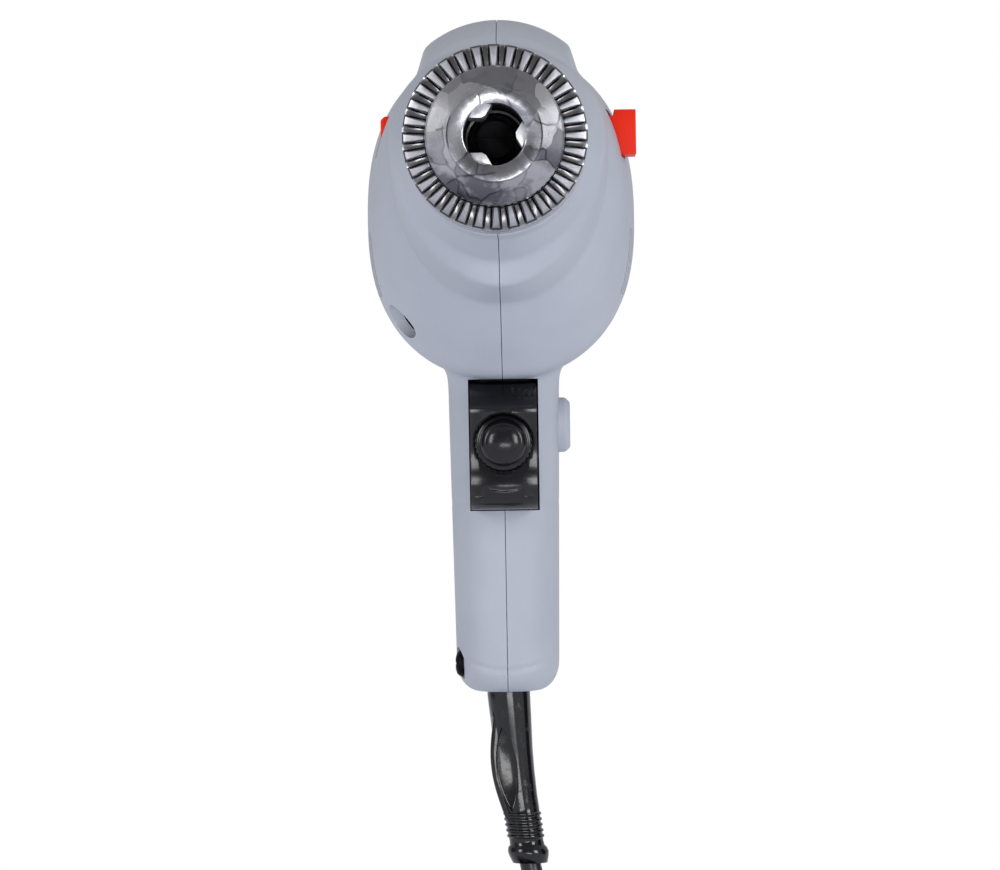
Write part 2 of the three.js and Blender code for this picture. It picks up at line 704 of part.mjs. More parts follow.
function commutator() {
  const endY = COMMUTATOR_Y + COMMUTATOR_LENGTH;
  return aboutMotor(
    turned([
      [FRONT_BEARING.bore + SEAT_GAP, COMMUTATOR_Y - 2],
      [COMMUTATOR_R + 1.4, COMMUTATOR_Y - 2],
      [COMMUTATOR_R + 1.4, COMMUTATOR_Y],
      [COMMUTATOR_R, COMMUTATOR_Y],
      [COMMUTATOR_R, endY],
      [FRONT_BEARING.bore + SEAT_GAP, endY],
    ]),
  );
}

function coolingFan() {
  const hub = ring(FRONT_BEARING.bore + 3, FRONT_BEARING.bore + SEAT_GAP, FAN_Y, FAN_Y + FAN_WIDTH);
  const disc = ring(FAN_R, FRONT_BEARING.bore + 1, FAN_Y + FAN_WIDTH - 1.8, FAN_Y + FAN_WIDTH);
  const blades = [];
  for (let i = 0; i < FAN_BLADES; i += 1) {
    const blade = block(9, FAN_R - 0.6, FAN_Y + 0.8, FAN_Y + FAN_WIDTH - 1, -0.8, 0.8);
    blades.push(blade.rotate([0, (i * 360) / FAN_BLADES, 0]));
  }
  return aboutMotor(union([hub, disc, ...blades]));
}

// A wedge of the disc round the motor's axis, `half` degrees each side of straight up.
function sector(half, y0, y1) {
  const reach = 2 * FIELD_R;
  const side = THREE.MathUtils.degToRad(half);
  const corner = [reach * Math.sin(side), reach * Math.cos(side)];
  const outline = [[0, 0], corner, [corner[0], reach], [-corner[0], reach], [-corner[0], corner[1]]];
  return slab(outline, y0, y1);
}

const POLE_HALF_ANGLE = 55;
const POLE_R = ARMATURE_R + AIR_GAP;

function fieldCore() {
  const y1 = STACK_Y + STACK_LENGTH;
  const yoke = ring(FIELD_R, FIELD_R - YOKE, STACK_Y, y1, FINE_ROUND);
  const band = ring(FIELD_R - YOKE + 0.5, POLE_R, STACK_Y, y1, FINE_ROUND);
  const pole = band.intersect(sector(POLE_HALF_ANGLE, STACK_Y, y1));
  return aboutMotor(union([yoke, pole, pole.rotate([0, 180, 0])]));
}

// A coil laid round one pole, as a frame of copper on the inside of the yoke.
function fieldCoil(turn) {
  const frontY = STACK_Y - COIL_END;
  const backY = STACK_Y + STACK_LENGTH + COIL_END;
  const band = ring(FIELD_R - YOKE - SEAT_GAP, POLE_R + SEAT_GAP, frontY, backY, FINE_ROUND);
  const outside = band.intersect(sector(87, frontY, backY));
  const window = sector(POLE_HALF_ANGLE + 1.5, STACK_Y - SEAT_GAP, STACK_Y + STACK_LENGTH + SEAT_GAP);
  return aboutMotor(without(outside, window).rotate([0, turn, 0]));
}

const BRUSH_Y = COMMUTATOR_Y + COMMUTATOR_LENGTH / 2;

function carbonBrush(side) {
  const near = COMMUTATOR_R + SEAT_GAP;
  const halfY = BRUSH_WIDTH / 2;
  const halfZ = BRUSH_HEIGHT / 2;
  const x = [side * near, side * (near + BRUSH_LENGTH)].sort((a, b) => a - b);
  return aboutMotor(block(x[0], x[1], BRUSH_Y - halfY, BRUSH_Y + halfY, -halfZ, halfZ));
}

function brushHolder(side) {
  const near = COMMUTATOR_R + 1.4;
  const far = near + BRUSH_LENGTH + 3;
  const x = [side * near, side * far].sort((a, b) => a - b);
  const halfY = BRUSH_WIDTH / 2 + SEAT_GAP;
  const halfZ = BRUSH_HEIGHT / 2 + SEAT_GAP;
  const skin = 1.2;
  const shell = block(x[0], x[1], BRUSH_Y - halfY - skin, BRUSH_Y + halfY + skin, -halfZ - skin, halfZ + skin);
  const channel = block(x[0] - 1, x[1] + 1, BRUSH_Y - halfY, BRUSH_Y + halfY, -halfZ, halfZ);
  return aboutMotor(without(shell, channel));
}

function bearingCup() {
  const outerR = REAR_BEARING.outer + 1.8;
  const innerR = REAR_BEARING.outer + SEAT_GAP;
  const backY = REAR_BEARING_Y + REAR_BEARING.width + 3;
  return aboutMotor(
    turned([
      [0, backY],
      [outerR, backY],
      [outerR, REAR_BEARING_Y],
      [innerR, REAR_BEARING_Y],
      [innerR, backY - 1.4],
      [0, backY - 1.4],
    ]),
  );
}

function addMotor() {
  const frontY = PLATE_BACK_Y + SEAT_GAP;
  addPart("armature_shaft", armatureShaft(), bearingSteel);
  addPart("armature_core", armatureCore(), laminations);
  addPart("armature_winding", armatureWinding(), copper);
  addPart("commutator", commutator(), copper);
  addPart("cooling_fan", coolingFan(), blackPlastic);
  addPart("front_bearing_inner", aboutMotor(bearingRing(FRONT_BEARING, frontY, false)), bearingSteel);
  addPart("front_bearing_outer", aboutMotor(bearingRing(FRONT_BEARING, frontY, true)), bearingSteel);
  addPart("rear_bearing_inner", aboutMotor(bearingRing(REAR_BEARING, REAR_BEARING_Y, false)), bearingSteel);
  addPart("rear_bearing_outer", aboutMotor(bearingRing(REAR_BEARING, REAR_BEARING_Y, true)), bearingSteel);
  addPart("rear_bearing_cup", bearingCup(), blackRubber);
  addPart("field_core", fieldCore(), laminations);
  addPart("field_coil_upper", fieldCoil(0), copper);
  addPart("field_coil_lower", fieldCoil(180), copper);
  addPart("brush_left", carbonBrush(1), carbon);
  addPart("brush_right", carbonBrush(-1), carbon);
  addPart("brush_holder_left", brushHolder(1), brass);
  addPart("brush_holder_right", brushHolder(-1), brass);
}

// ---------------------------------------------------------------- the housing's outer form

function circleStation(at, radius) {
  const round = { halfWidth: radius, middle: 0, top: radius, bottom: -radius };
  return { at, ...round, squareTop: 2, squareBottom: 2 };
}

function station(at, halfWidth, middle, top, bottom, squareTop, squareBottom) {
  return { at, halfWidth, middle, top, bottom, squareTop, squareBottom };
}

// The body from the collar to the back cap. The chin under the collar drops in two steps.
function bodyStations() {
  const half = BODY_HALF_WIDTH;
  const low = BODY_BOTTOM;
  const widest = BODY_AXIS_Z;
  const back = BODY_BACK_Y;
  return [
    circleStation(NECK_FRONT_Y, NECK_R - 0.6),
    circleStation(NECK_FRONT_Y + 0.6, NECK_R),
    circleStation(FLARE_Y, NECK_R),
    station(STEP_Y, 26.9, 4, 26.7, -26.6, 2, 1.8),
    station(STEP_Y + 5, 27, 4, 28, -32.8, 2, 1.8),
    station(STEP_Y + 20, 27.6, 4, 29.5, -36.3, 2, 2.2),
    station(STEP_Y + 28, half - 4.7, -3, BODY_TOP, low + 11, 2.1, 2.25),
    station(STEP_Y + 36, half - 3, -9, BODY_TOP, low + 4.6, 2.2, 2.3),
    station(STEP_Y + 43, half - 2, widest, BODY_TOP, low, 2.3, 2.3),
    station(STEP_Y + 60, half - 0.4, widest, BODY_TOP, low + 0.2, 2.4, 2.4),
    station(STEP_Y + 75, half, widest, BODY_TOP, low + 1.6, 2.4, 2.4),
    station(back - 50, half - 0.4, widest, BODY_TOP - 1, low + 3.4, 2.4, 2.4),
    station(back - 26, half - 2.4, widest, BODY_TOP - 3.5, low + 6.4, 2.4, 2.4),
    station(back - 12, half - 5.6, widest, BODY_TOP - 7, low + 10.4, 2.3, 2.3),
    station(back - 4, half - 11, widest, BODY_TOP - 12.5, low + 16, 2.2, 2.2),
    station(back, half - 18, widest, BODY_TOP - 19, low + 22.6, 2, 2),
  ];
}

// A station seen from inside a wall; `along` moves it back or forward.
function inside(outer, wall, along) {
  return {
    ...outer,
    at: outer.at + along,
    halfWidth: outer.halfWidth - wall,
    top: outer.top - wall,
    bottom: outer.bottom + wall,
  };
}

function ridge(grow) {
  const arc = [];
  const arcZ = RIDGE_TOP - RIDGE_ARC_R;
  const halfAngle = Math.asin(RIDGE_CORNER_X / RIDGE_ARC_R);
  const steps = 8;
  for (let i = 0; i <= steps; i += 1) {
    const angle = halfAngle - (i / steps) * 2 * halfAngle;
    const radius = RIDGE_ARC_R + grow;
    arc.push([radius * Math.sin(angle), arcZ + radius * Math.cos(angle)]);
  }
  const foot = RIDGE_FOOT_X + grow;
  const front = [[-foot, 0], [-foot, 21.8], ...arc.reverse(), [foot, 21.8], [foot, 0]];
  const top = RIDGE_TOP + 1;
  const side = [
    [STEP_Y + 1 - grow, 0],
    [STEP_Y + 1 - grow, 26.4 + grow],
    [STEP_Y + 9 - grow, 31.5 + grow],
    [STEP_Y + 22 - grow, RIDGE_TOP - 0.6 + grow],
    [STEP_Y + 28, top + grow],
    [BODY_BACK_Y - 70, top + grow],
    [BODY_BACK_Y - 34, RIDGE_TOP - 3.5 + grow],
    [BODY_BACK_Y - 15 + grow, RIDGE_TOP - 9.5 + grow],
    [BODY_BACK_Y - 8 + grow, RIDGE_TOP - 16 + grow],
    [BODY_BACK_Y - 6 + grow, 0],
  ];
  return slab(front, STEP_Y - 5, BODY_BACK_Y + 5).intersect(plate(side, -40, 40));
}

// The grip's front, back and half width at a height, between its top and its foot.
function gripPlace(z) {
  const t = (GRIP_TOP.z - z) / (GRIP_TOP.z - GRIP_FOOT.z);
  const front = GRIP_TOP.front + t * (GRIP_FOOT.front - GRIP_TOP.front);
  const back = GRIP_TOP.back + t * (GRIP_FOOT.back - GRIP_TOP.back);
  const halfWidth = GRIP_TOP.halfWidth + t * (GRIP_FOOT.halfWidth - GRIP_TOP.halfWidth);
  return { front, back, halfWidth, middle: (front + back) / 2 };
}

// The grip, lofted from its foot up and stood upright; `wall` insets it for the hollow inside.
function grip(wall, topZ) {
  const stations = [];
  const foot = GRIP_FOOT.z + wall;
  const rounding = [[0, GRIP_CORNER], [0.18, 2.6], [0.5, 0.8], [1, 0]];
  const levels = rounding.map(([share, inset]) => [foot + share * GRIP_CORNER, inset]);
  levels.push([(foot + topZ) / 2, 0], [topZ, 0]);
  for (const [z, inset] of levels) {
    const place = gripPlace(z);
    const shrink = wall + inset * 0.8;
    stations.push(
      station(z, place.halfWidth - shrink, -place.middle, -place.front - shrink, -place.back + shrink, 2.7, 2.5),
    );
  }
  return lofted(stations, 20).rotate([90, 0, 0]);
}

function outerForm() {
  return union([lofted(bodyStations(), 32), ridge(0), grip(0, -32)]);
}

// ---------------------------------------------------------------- the housing's hollow

function hollow() {
  const outer = bodyStations();
  const belly = outer.slice(5).map((s, i) => inside(s, WALL, i < 4 ? 6 - i * 1.2 : 0));
  const count = belly.length;
  for (let i = count - 3; i < count; i += 1) belly[i].at -= WALL;
  return union([lofted(belly, 20), ridge(-WALL).intersect(block(-40, 40, GEAR_Y, 300, -60, 60)),
    grip(WALL, -36)]);
}

// Walls across the body that carry the bearings and the field core.
function bulkheads() {
  const across = (y0, y1) => block(-60, 60, y0, y1, -47, 60);
  const fieldFront = across(STACK_Y + 3, STACK_Y + 6);
  const fieldBack = across(STACK_Y + STACK_LENGTH - 6, STACK_Y + STACK_LENGTH - 3);
  const rear = across(REAR_BEARING_Y - 1, REAR_BEARING_Y + REAR_BEARING.width + 3 + SEAT_GAP);
  const gearbox = across(STEP_Y, PLATE_Y - SEAT_GAP);
  return union([fieldFront, fieldBack, rear, gearbox]);
}

function boreForSpindle() {
  const bearingR = SPINDLE_BEARING.outer + SEAT_GAP;
  const bearingEndY = SPINDLE_BEARING_Y + SPINDLE_BEARING.width + HAMMER_TRAVEL + SEAT_GAP;
  const seatY = FIXED_RATCHET_Y - RATCHET_TOOTH - SEAT_GAP;
  const chamberR = GEAR_TIP_R + 2;
  return turned([
    [0, NECK_FRONT_Y - 1],
    [SPINDLE_SHOULDER_R + 1, NECK_FRONT_Y - 1],
    [SPINDLE_SHOULDER_R + 1, NECK_FRONT_Y + WALL],
    [NECK_R - WALL, NECK_FRONT_Y + WALL],
    [NECK_R - WALL, SPINDLE_BEARING_Y - 4],
    [bearingR, SPINDLE_BEARING_Y - SEAT_GAP],
    [bearingR, bearingEndY],
    [RATCHET_R + 4, bearingEndY],
    [RATCHET_R + 4, seatY - 2],
    [RATCHET_R + 2 + SEAT_GAP, seatY - 2],
    [RATCHET_R + 2 + SEAT_GAP, FIXED_RATCHET_Y + RATCHET_THICKNESS + SEAT_GAP],
    [chamberR, FIXED_RATCHET_Y + RATCHET_THICKNESS + SEAT_GAP],
    [chamberR, PLATE_Y],
    [0, PLATE_Y],
  ]);
}

function ventSlots() {
  const cuts = [];
  for (let i = 0; i < 5; i += 1) {
    const y = STACK_Y + STACK_LENGTH + 6 + i * 5;
    cuts.push(block(-60, 60, y, y + 2.2, MOTOR_Z - 10 + i, MOTOR_Z + 12 - i));
  }
  for (let i = 0; i < 3; i += 1) {
    const y = FAN_Y - 2 + i * 4.6;
    cuts.push(block(-60, -20, y, y + 2.2, -34, -16));
    cuts.push(block(20, 60, y, y + 2.2, -34, -16));
  }
  return union(cuts);
}

function screwCuts() {
  const cuts = [];
  for (const [y, z] of SCREW_PLACES) {
    const seat = SCREW_SEAT_X - SCREW_HEAD_LENGTH;
    cuts.push(crossRod(COUNTERBORE_R, -60, SCREW_SEAT_X, y, z, 12));
    cuts.push(crossRod(SCREW_R + SEAT_GAP, seat, SCREW_SEAT_X + SCREW_LENGTH + 1, y, z, 8));
  }
  return union(cuts);
}

function bootHole() {
  const flange = uprightRod(BOOT_R + 2.2 + SEAT_GAP, GRIP_FOOT.z + WALL + 1.2, GRIP_FOOT.z + 8, 0, GRIP_FOOT_Y);
  const neck = uprightRod(BOOT_R + SEAT_GAP, GRIP_FOOT.z - 5, GRIP_FOOT.z + 8, 0, GRIP_FOOT_Y);
  return union([flange, neck]);
}

function housing() {
  const form = outerForm();
  const bosses = SCREW_PLACES.map(([y, z]) => crossRod(BOSS_R, -40, 40, y, z, 8));
  const space = without(hollow(), bulkheads(), union(bosses));
  const bearingEndY = REAR_BEARING_Y + REAR_BEARING.width + 3 + SEAT_GAP;
  const triggerHalf = TRIGGER_WIDTH / 2 + SEAT_GAP + 0.2;
  const triggerLow = TRIGGER_TOP_Z - TRIGGER_HEIGHT - SEAT_GAP;
  const barGap = SEAT_GAP;
  const knobGap = SEAT_GAP + 0.2;
  const knobBackX = SELECTOR_LEFT_X - KNOB_LENGTH - SELECTOR_TRAVEL - 1;
  return without(
    form,
    space,
    boreForSpindle(),
    motorRod(PINION_TIP_R + 2, GEAR_Y - 4, PLATE_Y),
    motorRod(FIELD_R + SEAT_GAP, STACK_Y - COIL_END - 2, STACK_Y + STACK_LENGTH + COIL_END + 1, FINE_ROUND),
    motorRod(REAR_BEARING.outer + 1.8 + SEAT_GAP, REAR_BEARING_Y - 2, bearingEndY),
    block(-triggerHalf, triggerHalf, 90, SWITCH_Y + 4, triggerLow, TRIGGER_TOP_Z + SEAT_GAP),
    block(-60, 60, SELECTOR_Y - barGap, SELECTOR_Y + SELECTOR_THICKNESS + barGap,
      SELECTOR_BAR.low - barGap, SELECTOR_BAR.high + barGap),
    block(knobBackX, 60, SELECTOR_Y - KNOB_OVERHANG - knobGap,
      SELECTOR_Y + SELECTOR_THICKNESS + KNOB_OVERHANG + knobGap,
      SELECTOR_KNOB.low - knobGap, SELECTOR_KNOB.high + knobGap),
    crossRod(BUTTON_R + SEAT_GAP, 5, 60, BUTTON_Y, BUTTON_Z, FINE_ROUND),
    crossRod(BUTTON_FLANGE_R + SEAT_GAP, 5, wallXAt(BUTTON_Z) - WALL, BUTTON_Y, BUTTON_Z),
    screwCuts(),
    ventSlots(),
    bootHole(),
  );
}

function wallXAt(z) {
  return gripPlace(z).halfWidth;
}

function addHousing() {
  const whole = housing();
  const edge = SEAM / 2;
  addPart("housing_left", whole.intersect(block(edge, 80, 0, 300, -200, 80)), greyShell);
  addPart("housing_right", whole.intersect(block(-80, -edge, 0, 300, -200, 80)), greyShell);
  SCREW_PLACES.forEach(([y, z], i) => {
    const seat = SCREW_SEAT_X - SEAT_GAP;
    const head = crossRod(SCREW_HEAD_R, seat - SCREW_HEAD_LENGTH, seat, y, z, 12);
    const shank = crossRod(SCREW_R, seat - 0.5, SCREW_SEAT_X + SCREW_LENGTH, y, z, 8);
    addPart(`housing_screw_${i + 1}`, head.add(shank), darkSteel);
  });
}

// ---------------------------------------------------------------- plate behind the gears

function gearPlate() {
  const back = PLATE_BACK_Y;
  const section = hollowSectionAt(PLATE_Y, back, SEAT_GAP + 0.5);
  const boss = ring(FRONT_BEARING.outer + 2.2, FRONT_BEARING.outer + SEAT_GAP, back - 1, back + 8);
  const bossTrim = block(-40, 40, back, back + 20, -4.2, 20);
  const seat = motorRod(FRONT_BEARING.outer + SEAT_GAP, back, back + 9);
  const shaftHole = motorRod(FRONT_BEARING.bore + 0.8, PLATE_Y - 1, back + 1);
  const bushHole = rod(SPINDLE_TAIL_R + 1.6 + SEAT_GAP, PLATE_Y - 1, back + 1);
  const knobReachX = SELECTOR_LEFT_X - KNOB_LENGTH - SELECTOR_TRAVEL - 1;
  const { low, high } = SELECTOR_KNOB;
  const knobRoom = block(knobReachX, 60, PLATE_Y - 1, back + 1, low - 2 * SEAT_GAP, high + 2 * SEAT_GAP);
  return without(section.add(aboutMotor(boss)), bossTrim, seat, shaftHole, bushHole, knobRoom);
}

// A slab that fills the body's hollow between two places, inset by `gap` all round.
function hollowSectionAt(y0, y1, gap) {
  const outer = bodyStations();
  const sections = outer.slice(5, 10).map((s) => inside(s, WALL + gap + 2.4, 6));
  const region = lofted(sections, 40).intersect(block(-60, 60, y0, y1, -36, 21));
  return region;
}

function spindleBush() {
  const y0 = PLATE_Y + SEAT_GAP;
  return ring(SPINDLE_TAIL_R + 1.6, SPINDLE_TAIL_R + RUN_GAP, y0, PLATE_BACK_Y - SEAT_GAP);
}

function modeSelector() {
  const y0 = SELECTOR_Y;
  const y1 = SELECTOR_Y + SELECTOR_THICKNESS;
  const barEnd = SELECTOR_LEFT_X - KNOB_LENGTH;
  const { low, high } = SELECTOR_BAR;
  const bar = slab(
    [
      [SELECTOR_RIGHT_X, low + 4],
      [SELECTOR_RIGHT_X + 3, low],
      [-14, low],
      [-14, -3.8],
      [9.5, -3.8],
      [9.5, low],
      [barEnd + 1, low],
      [barEnd + 1, high],
      [SELECTOR_RIGHT_X + 1, high],
      [SELECTOR_RIGHT_X, high - 1],
    ],
    y0,
    y1,
  );
  const knob = block(barEnd, SELECTOR_LEFT_X, y0 - KNOB_OVERHANG, y1 + KNOB_OVERHANG,
    SELECTOR_KNOB.low, SELECTOR_KNOB.high);
  const shelf = block(barEnd - 1, barEnd + 2, y0 - 4, y1 + 4, SELECTOR_KNOB.high - 3, SELECTOR_KNOB.high + 1);
  const notch = block(-DETENT_HALF_WIDTH, DETENT_HALF_WIDTH, y0 - 1, y0 + HAMMER_TRAVEL + SEAT_GAP, -10, 3.4);
  return without(union([bar, knob]), notch).subtract(shelf);
}

// ---------------------------------------------------------------- trigger, dial, switch, lock

function triggerOutline() {
  const top = TRIGGER_TOP_Z;
  const low = TRIGGER_TOP_Z - TRIGGER_HEIGHT;
  const front = TRIGGER_FRONT_Y;
  return [
    [front + 6, top],
    [front + 2, top - 2],
    [front + 2.4, top - 7],
    [front + 4.6, top - 9.5],
    [front + 6.5, top - 24],
    [front + 6.2, top - 26],
    [front + 9.4, low + 2],
    [front + 11.5, low],
    [TRIGGER_REAR_Y, low],
    [TRIGGER_REAR_Y, top],
  ];
}

const DIAL_FACE_Y = TRIGGER_FRONT_Y + 5.6;

function trigger() {
  const half = TRIGGER_WIDTH / 2;
  const body = plate(triggerOutline(), -half, half);
  const well = rod(DIAL_R + SEAT_GAP, DIAL_FACE_Y - 10, DIAL_FACE_Y + 4, { z: DIAL_Z, sides: FINE_ROUND });
  const springWell = rod(5.6, TRIGGER_REAR_Y - 7, TRIGGER_REAR_Y + 1, { z: DIAL_Z });
  const stem = rod(STEM_R, TRIGGER_REAR_Y - 8, SWITCH_Y + 3, { z: DIAL_Z, sides: 16 });
  return without(body, well, springWell).add(stem);
}

function speedDial() {
  const faceY = DIAL_FACE_Y - 1;
  const profile = [
    [0, faceY - DIAL_DOME],
    [2.6, faceY - DIAL_DOME + 0.3],
    [4.9, faceY - DIAL_DOME + 1.2],
    [5.4, faceY - DIAL_DOME + 2.1],
    [DIAL_R - 0.6, faceY - 0.6],
    [DIAL_R, faceY],
    [DIAL_R, DIAL_FACE_Y + 3.6],
    [0, DIAL_FACE_Y + 3.6],
  ];
  return turned(profile, FINE_ROUND).translate([0, 0, DIAL_Z]);
}

function switchBody() {
  const half = SWITCH_HALF_WIDTH;
  const body = block(-half, half, SWITCH_Y, SWITCH_Y + SWITCH_LENGTH, -92, -54);
  const stemBore = rod(STEM_R + SEAT_GAP, SWITCH_Y - 1, SWITCH_Y + 3 + TRIGGER_TRAVEL + 2, { z: DIAL_Z, sides: 16 });
  const pocket = crossRod(4.1, 1.5, half + 1, BUTTON_Y, BUTTON_Z);
  return without(body, stemBore, pocket);
}

function lockButton() {
  const wallX = wallXAt(BUTTON_Z);
  const outX = wallX + BUTTON_PROUD;
  const flangeX = wallX - WALL - SEAT_GAP - 1.6;
  const cap = [
    [0, flangeX],
    [BUTTON_FLANGE_R, flangeX],
    [BUTTON_FLANGE_R, flangeX + 1.4],
    [BUTTON_R, flangeX + 1.4],
    [BUTTON_R, outX - 1.2],
    [BUTTON_R - 1.2, outX],
    [0, outX],
  ];
  const pin = rod(1.6, flangeX - 5, flangeX + 0.5, { sides: 12 });
  return turned(cap, FINE_ROUND).add(pin).rotate([0, 0, -90]).translate([0, BUTTON_Y, BUTTON_Z]);
}

function addControls() {
  const flangeX = wallXAt(BUTTON_Z) - WALL - SEAT_GAP - 1.6;
  const triggerSpringY = TRIGGER_REAR_Y - 6;
  const triggerSpringEnd = SWITCH_Y - 0.9;
  const springLength = triggerSpringEnd - triggerSpringY;
  const lockSpringX = 2.4;
  addPart("gear_plate", gearPlate(), castMetal);
  addPart("spindle_bush", spindleBush(), brass);
  addPart("mode_selector", modeSelector(), redPlastic);
  addPart("trigger", trigger(), blackPlastic);
  addPart("speed_dial", speedDial(), blackPlastic);
  addPart("switch_body", switchBody(), blackPlastic);
  const triggerCentre = new THREE.Vector3(0, triggerSpringY, DIAL_Z);
  addPart("trigger_spring", spring(triggerCentre, "y", 4.2, 0.45, springLength, 5), darkSteel);
  addPart("lock_button", lockButton(), greyShell);
  const lockCentre = new THREE.Vector3(lockSpringX, BUTTON_Y, BUTTON_Z);
  const lockSpan = flangeX - lockSpringX - 0.7;
  addPart("lock_spring", spring(lockCentre, "x", 2.8, 0.35, lockSpan, 5), darkSteel);
}

// ---------------------------------------------------------------- cord

function cordBoot() {
  const rootZ = GRIP_FOOT.z + WALL + 1.6;
  const tipZ = GRIP_FOOT.z - BOOT_LENGTH;
  const lean = (z) => Math.max(0, ((GRIP_FOOT.z - z) / BOOT_LENGTH) * BOOT_LEAN);
  const flange = uprightRod(BOOT_R + 2.2, rootZ, rootZ + 2.4, 0, GRIP_FOOT_Y);
  const levels = [
    [rootZ + 2.4, BOOT_R],
    [GRIP_FOOT.z, BOOT_R],
    [GRIP_FOOT.z - 12, BOOT_R],
    [GRIP_FOOT.z - 28, BOOT_R - 0.6],
    [tipZ + 5, BOOT_R - 1],
    [tipZ + 4, BOOT_R - 0.2],
    [tipZ, BOOT_R - 0.4],
  ].reverse();
  const stations = levels.map(([z, radius]) => {
    const round = station(z, radius, -GRIP_FOOT_Y, radius - GRIP_FOOT_Y, -radius - GRIP_FOOT_Y, 2, 2);
    return { ...round, shift: lean(z) };
  });
  const leaning = lofted(stations, 16).rotate([90, 0, 0]);
  const loopZ = GRIP_FOOT.z - 18;
  const loop = uprightRod(4.4, loopZ - 12, loopZ + 12, -3.4, GRIP_FOOT_Y, 20);
  return union([leaning, flange, loop]);
}

function cordClamp() {
  const z0 = GRIP_FOOT.z + 14;
  const y = GRIP_FOOT_Y;
  const strap = block(-9.6, 9.6, y - 6.2, y - 3.2, z0, z0 + 8);
  return without(strap, ...[-7, 7].map((x) => rod(1.4, y - 10, y + 2, { x, z: z0 + 4, sides: 12 })));
}

function clampScrew(x) {
  const z = GRIP_FOOT.z + 18;
  const y = GRIP_FOOT_Y - 6.2 - SEAT_GAP;
  return union([rod(2.2, y - 1.8, y, { x, z, sides: 12 }), rod(1.1, y - 0.5, y + 8, { x, z, sides: 12 })]);
}

// The free stretch of cord, from the boot's tip to the coil, as points chosen by hand.
const CORD_POINTS = [
  [5, GRIP_FOOT_Y, -184.1],
  [6, GRIP_FOOT_Y, -188],
  [8.6, GRIP_FOOT_Y, -193],
  [12.2, GRIP_FOOT_Y, -198],
  [15.5, GRIP_FOOT_Y, -203],
  [18.1, GRIP_FOOT_Y, -209],
  [19.6, GRIP_FOOT_Y, -216],
  [19.9, GRIP_FOOT_Y, -223],
];
// The coil hangs just in front of that stretch, which runs down behind it and into its middle.
const COIL_Y = GRIP_FOOT_Y - CORD_R - SEAT_GAP - COIL_HALF_WIDE;

function atCoil(solid) {
  return solid.translate([COIL_X, COIL_Y, COIL_Z]);
}

function coilRing() {
  const profile = [];
  const sides = 10;
  for (let i = 0; i < sides; i += 1) {
    const angle = ((i + 0.5) / sides) * 2 * Math.PI;
    const rounded = (value) => Math.sign(value) * Math.sqrt(Math.abs(value));
    const radius = COIL_MEAN_R + COIL_HALF_DEEP * rounded(Math.sin(angle));
    profile.push([radius, COIL_HALF_WIDE * Math.cos(angle)]);
  }
  return atCoil(turned(profile, FINE_ROUND));
}

// A strap closed round the bundle of turns, on the coil's -X side.
function coilTie() {
  const x = -COIL_MEAN_R;
  const halfStrap = TIE_WIDTH / 2;
  const loop = (grow, width) => {
    const deep = COIL_HALF_DEEP + grow;
    const wide = COIL_HALF_WIDE + grow;
    return block(x - deep, x + deep + 0.7, -wide, wide, -width, width);
  };
  return atCoil(without(loop(SEAT_GAP + TIE_THICKNESS, halfStrap), loop(SEAT_GAP, halfStrap + 1)));
}

function plugBody() {
  const y0 = -PLUG_HALF_HEIGHT;
  const stations = [
    station(0, PLUG_HALF_WIDTH - 1, 0, PLUG_HALF_HEIGHT - 1, y0 + 1, 3, 3),
    station(1, PLUG_HALF_WIDTH, 0, PLUG_HALF_HEIGHT, y0, 3, 3),
    station(16, PLUG_HALF_WIDTH, 0, PLUG_HALF_HEIGHT, y0, 3, 3),
    station(27, PLUG_HALF_WIDTH - 6, 0, PLUG_HALF_HEIGHT - 3, y0 + 3, 2.4, 2.4),
    station(PLUG_LENGTH, 4.6, 0, 4.6, -4.6, 2, 2),
  ];
  return lofted(stations, 20);
}

function addCord() {
  const points = CORD_POINTS.map(([x, y, z]) => new THREE.Vector3(x, y, z));
  addPart("cord_boot", cordBoot(), blackRubber);
  addPart("cord_clamp", cordClamp(), blackPlastic);
  addPart("clamp_screw_1", clampScrew(-7), darkSteel);
  addPart("clamp_screw_2", clampScrew(7), darkSteel);
  addPart("cord", hose(points, CORD_R, 10, 10), blackRubber);
  addPart("cord_coil", coilRing(), blackRubber);
  addPart("coil_tie", coilTie(), blackRubber);
  const tailX = COIL_X + LAST_TURN_R;
  const tailY = COIL_Y + LAST_TURN_Y;
  const tailTop = COIL_Z - Math.sqrt(COIL_OUTER_R ** 2 - (LAST_TURN_R - CORD_R) ** 2) - SEAT_GAP;
  const tail = [0, 0.5, 1].map((t) => new THREE.Vector3(tailX, tailY, tailTop - t * TAIL_LENGTH));
  addPart("cord_tail", hose(tail, CORD_R, 2, 10), blackRubber);
  const plugZ = tailTop - TAIL_LENGTH - SEAT_GAP - PLUG_LENGTH;
  const standing = (solid) => solid.rotate([90, 0, 0]).translate([tailX, tailY, plugZ]);
  addPart("plug_body", standing(plugBody()), blackRubber);
  [-1, 1].forEach((side, i) => {
    const pin = rod(PIN_R, -PIN_LENGTH, -SEAT_GAP, { x: (side * PIN_SPACING) / 2, sides: 16 });
    addPart(`plug_pin_${i + 1}`, standing(pin), brightSteel);
  });
}

addHousing();
addChuck();
addSpindle();
addMotor();
addControls();
addCord();

export default drill;
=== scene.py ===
# %% [markdown]
# # A corded impact drill
#
# This lesson dresses a drill. Its working parts come ready made as the frame: gears, motor,
# screws and springs, each in its place and riding on its own moving body. What a person
# sees and touches is modelled here, one piece at a time: the moulded shell, the chuck, the
# trigger with its dial, the buttons, the rubber boot and the cord.
#
# All sizes are in metres, and the drill points along -Y. The frame says where everything is.

import math

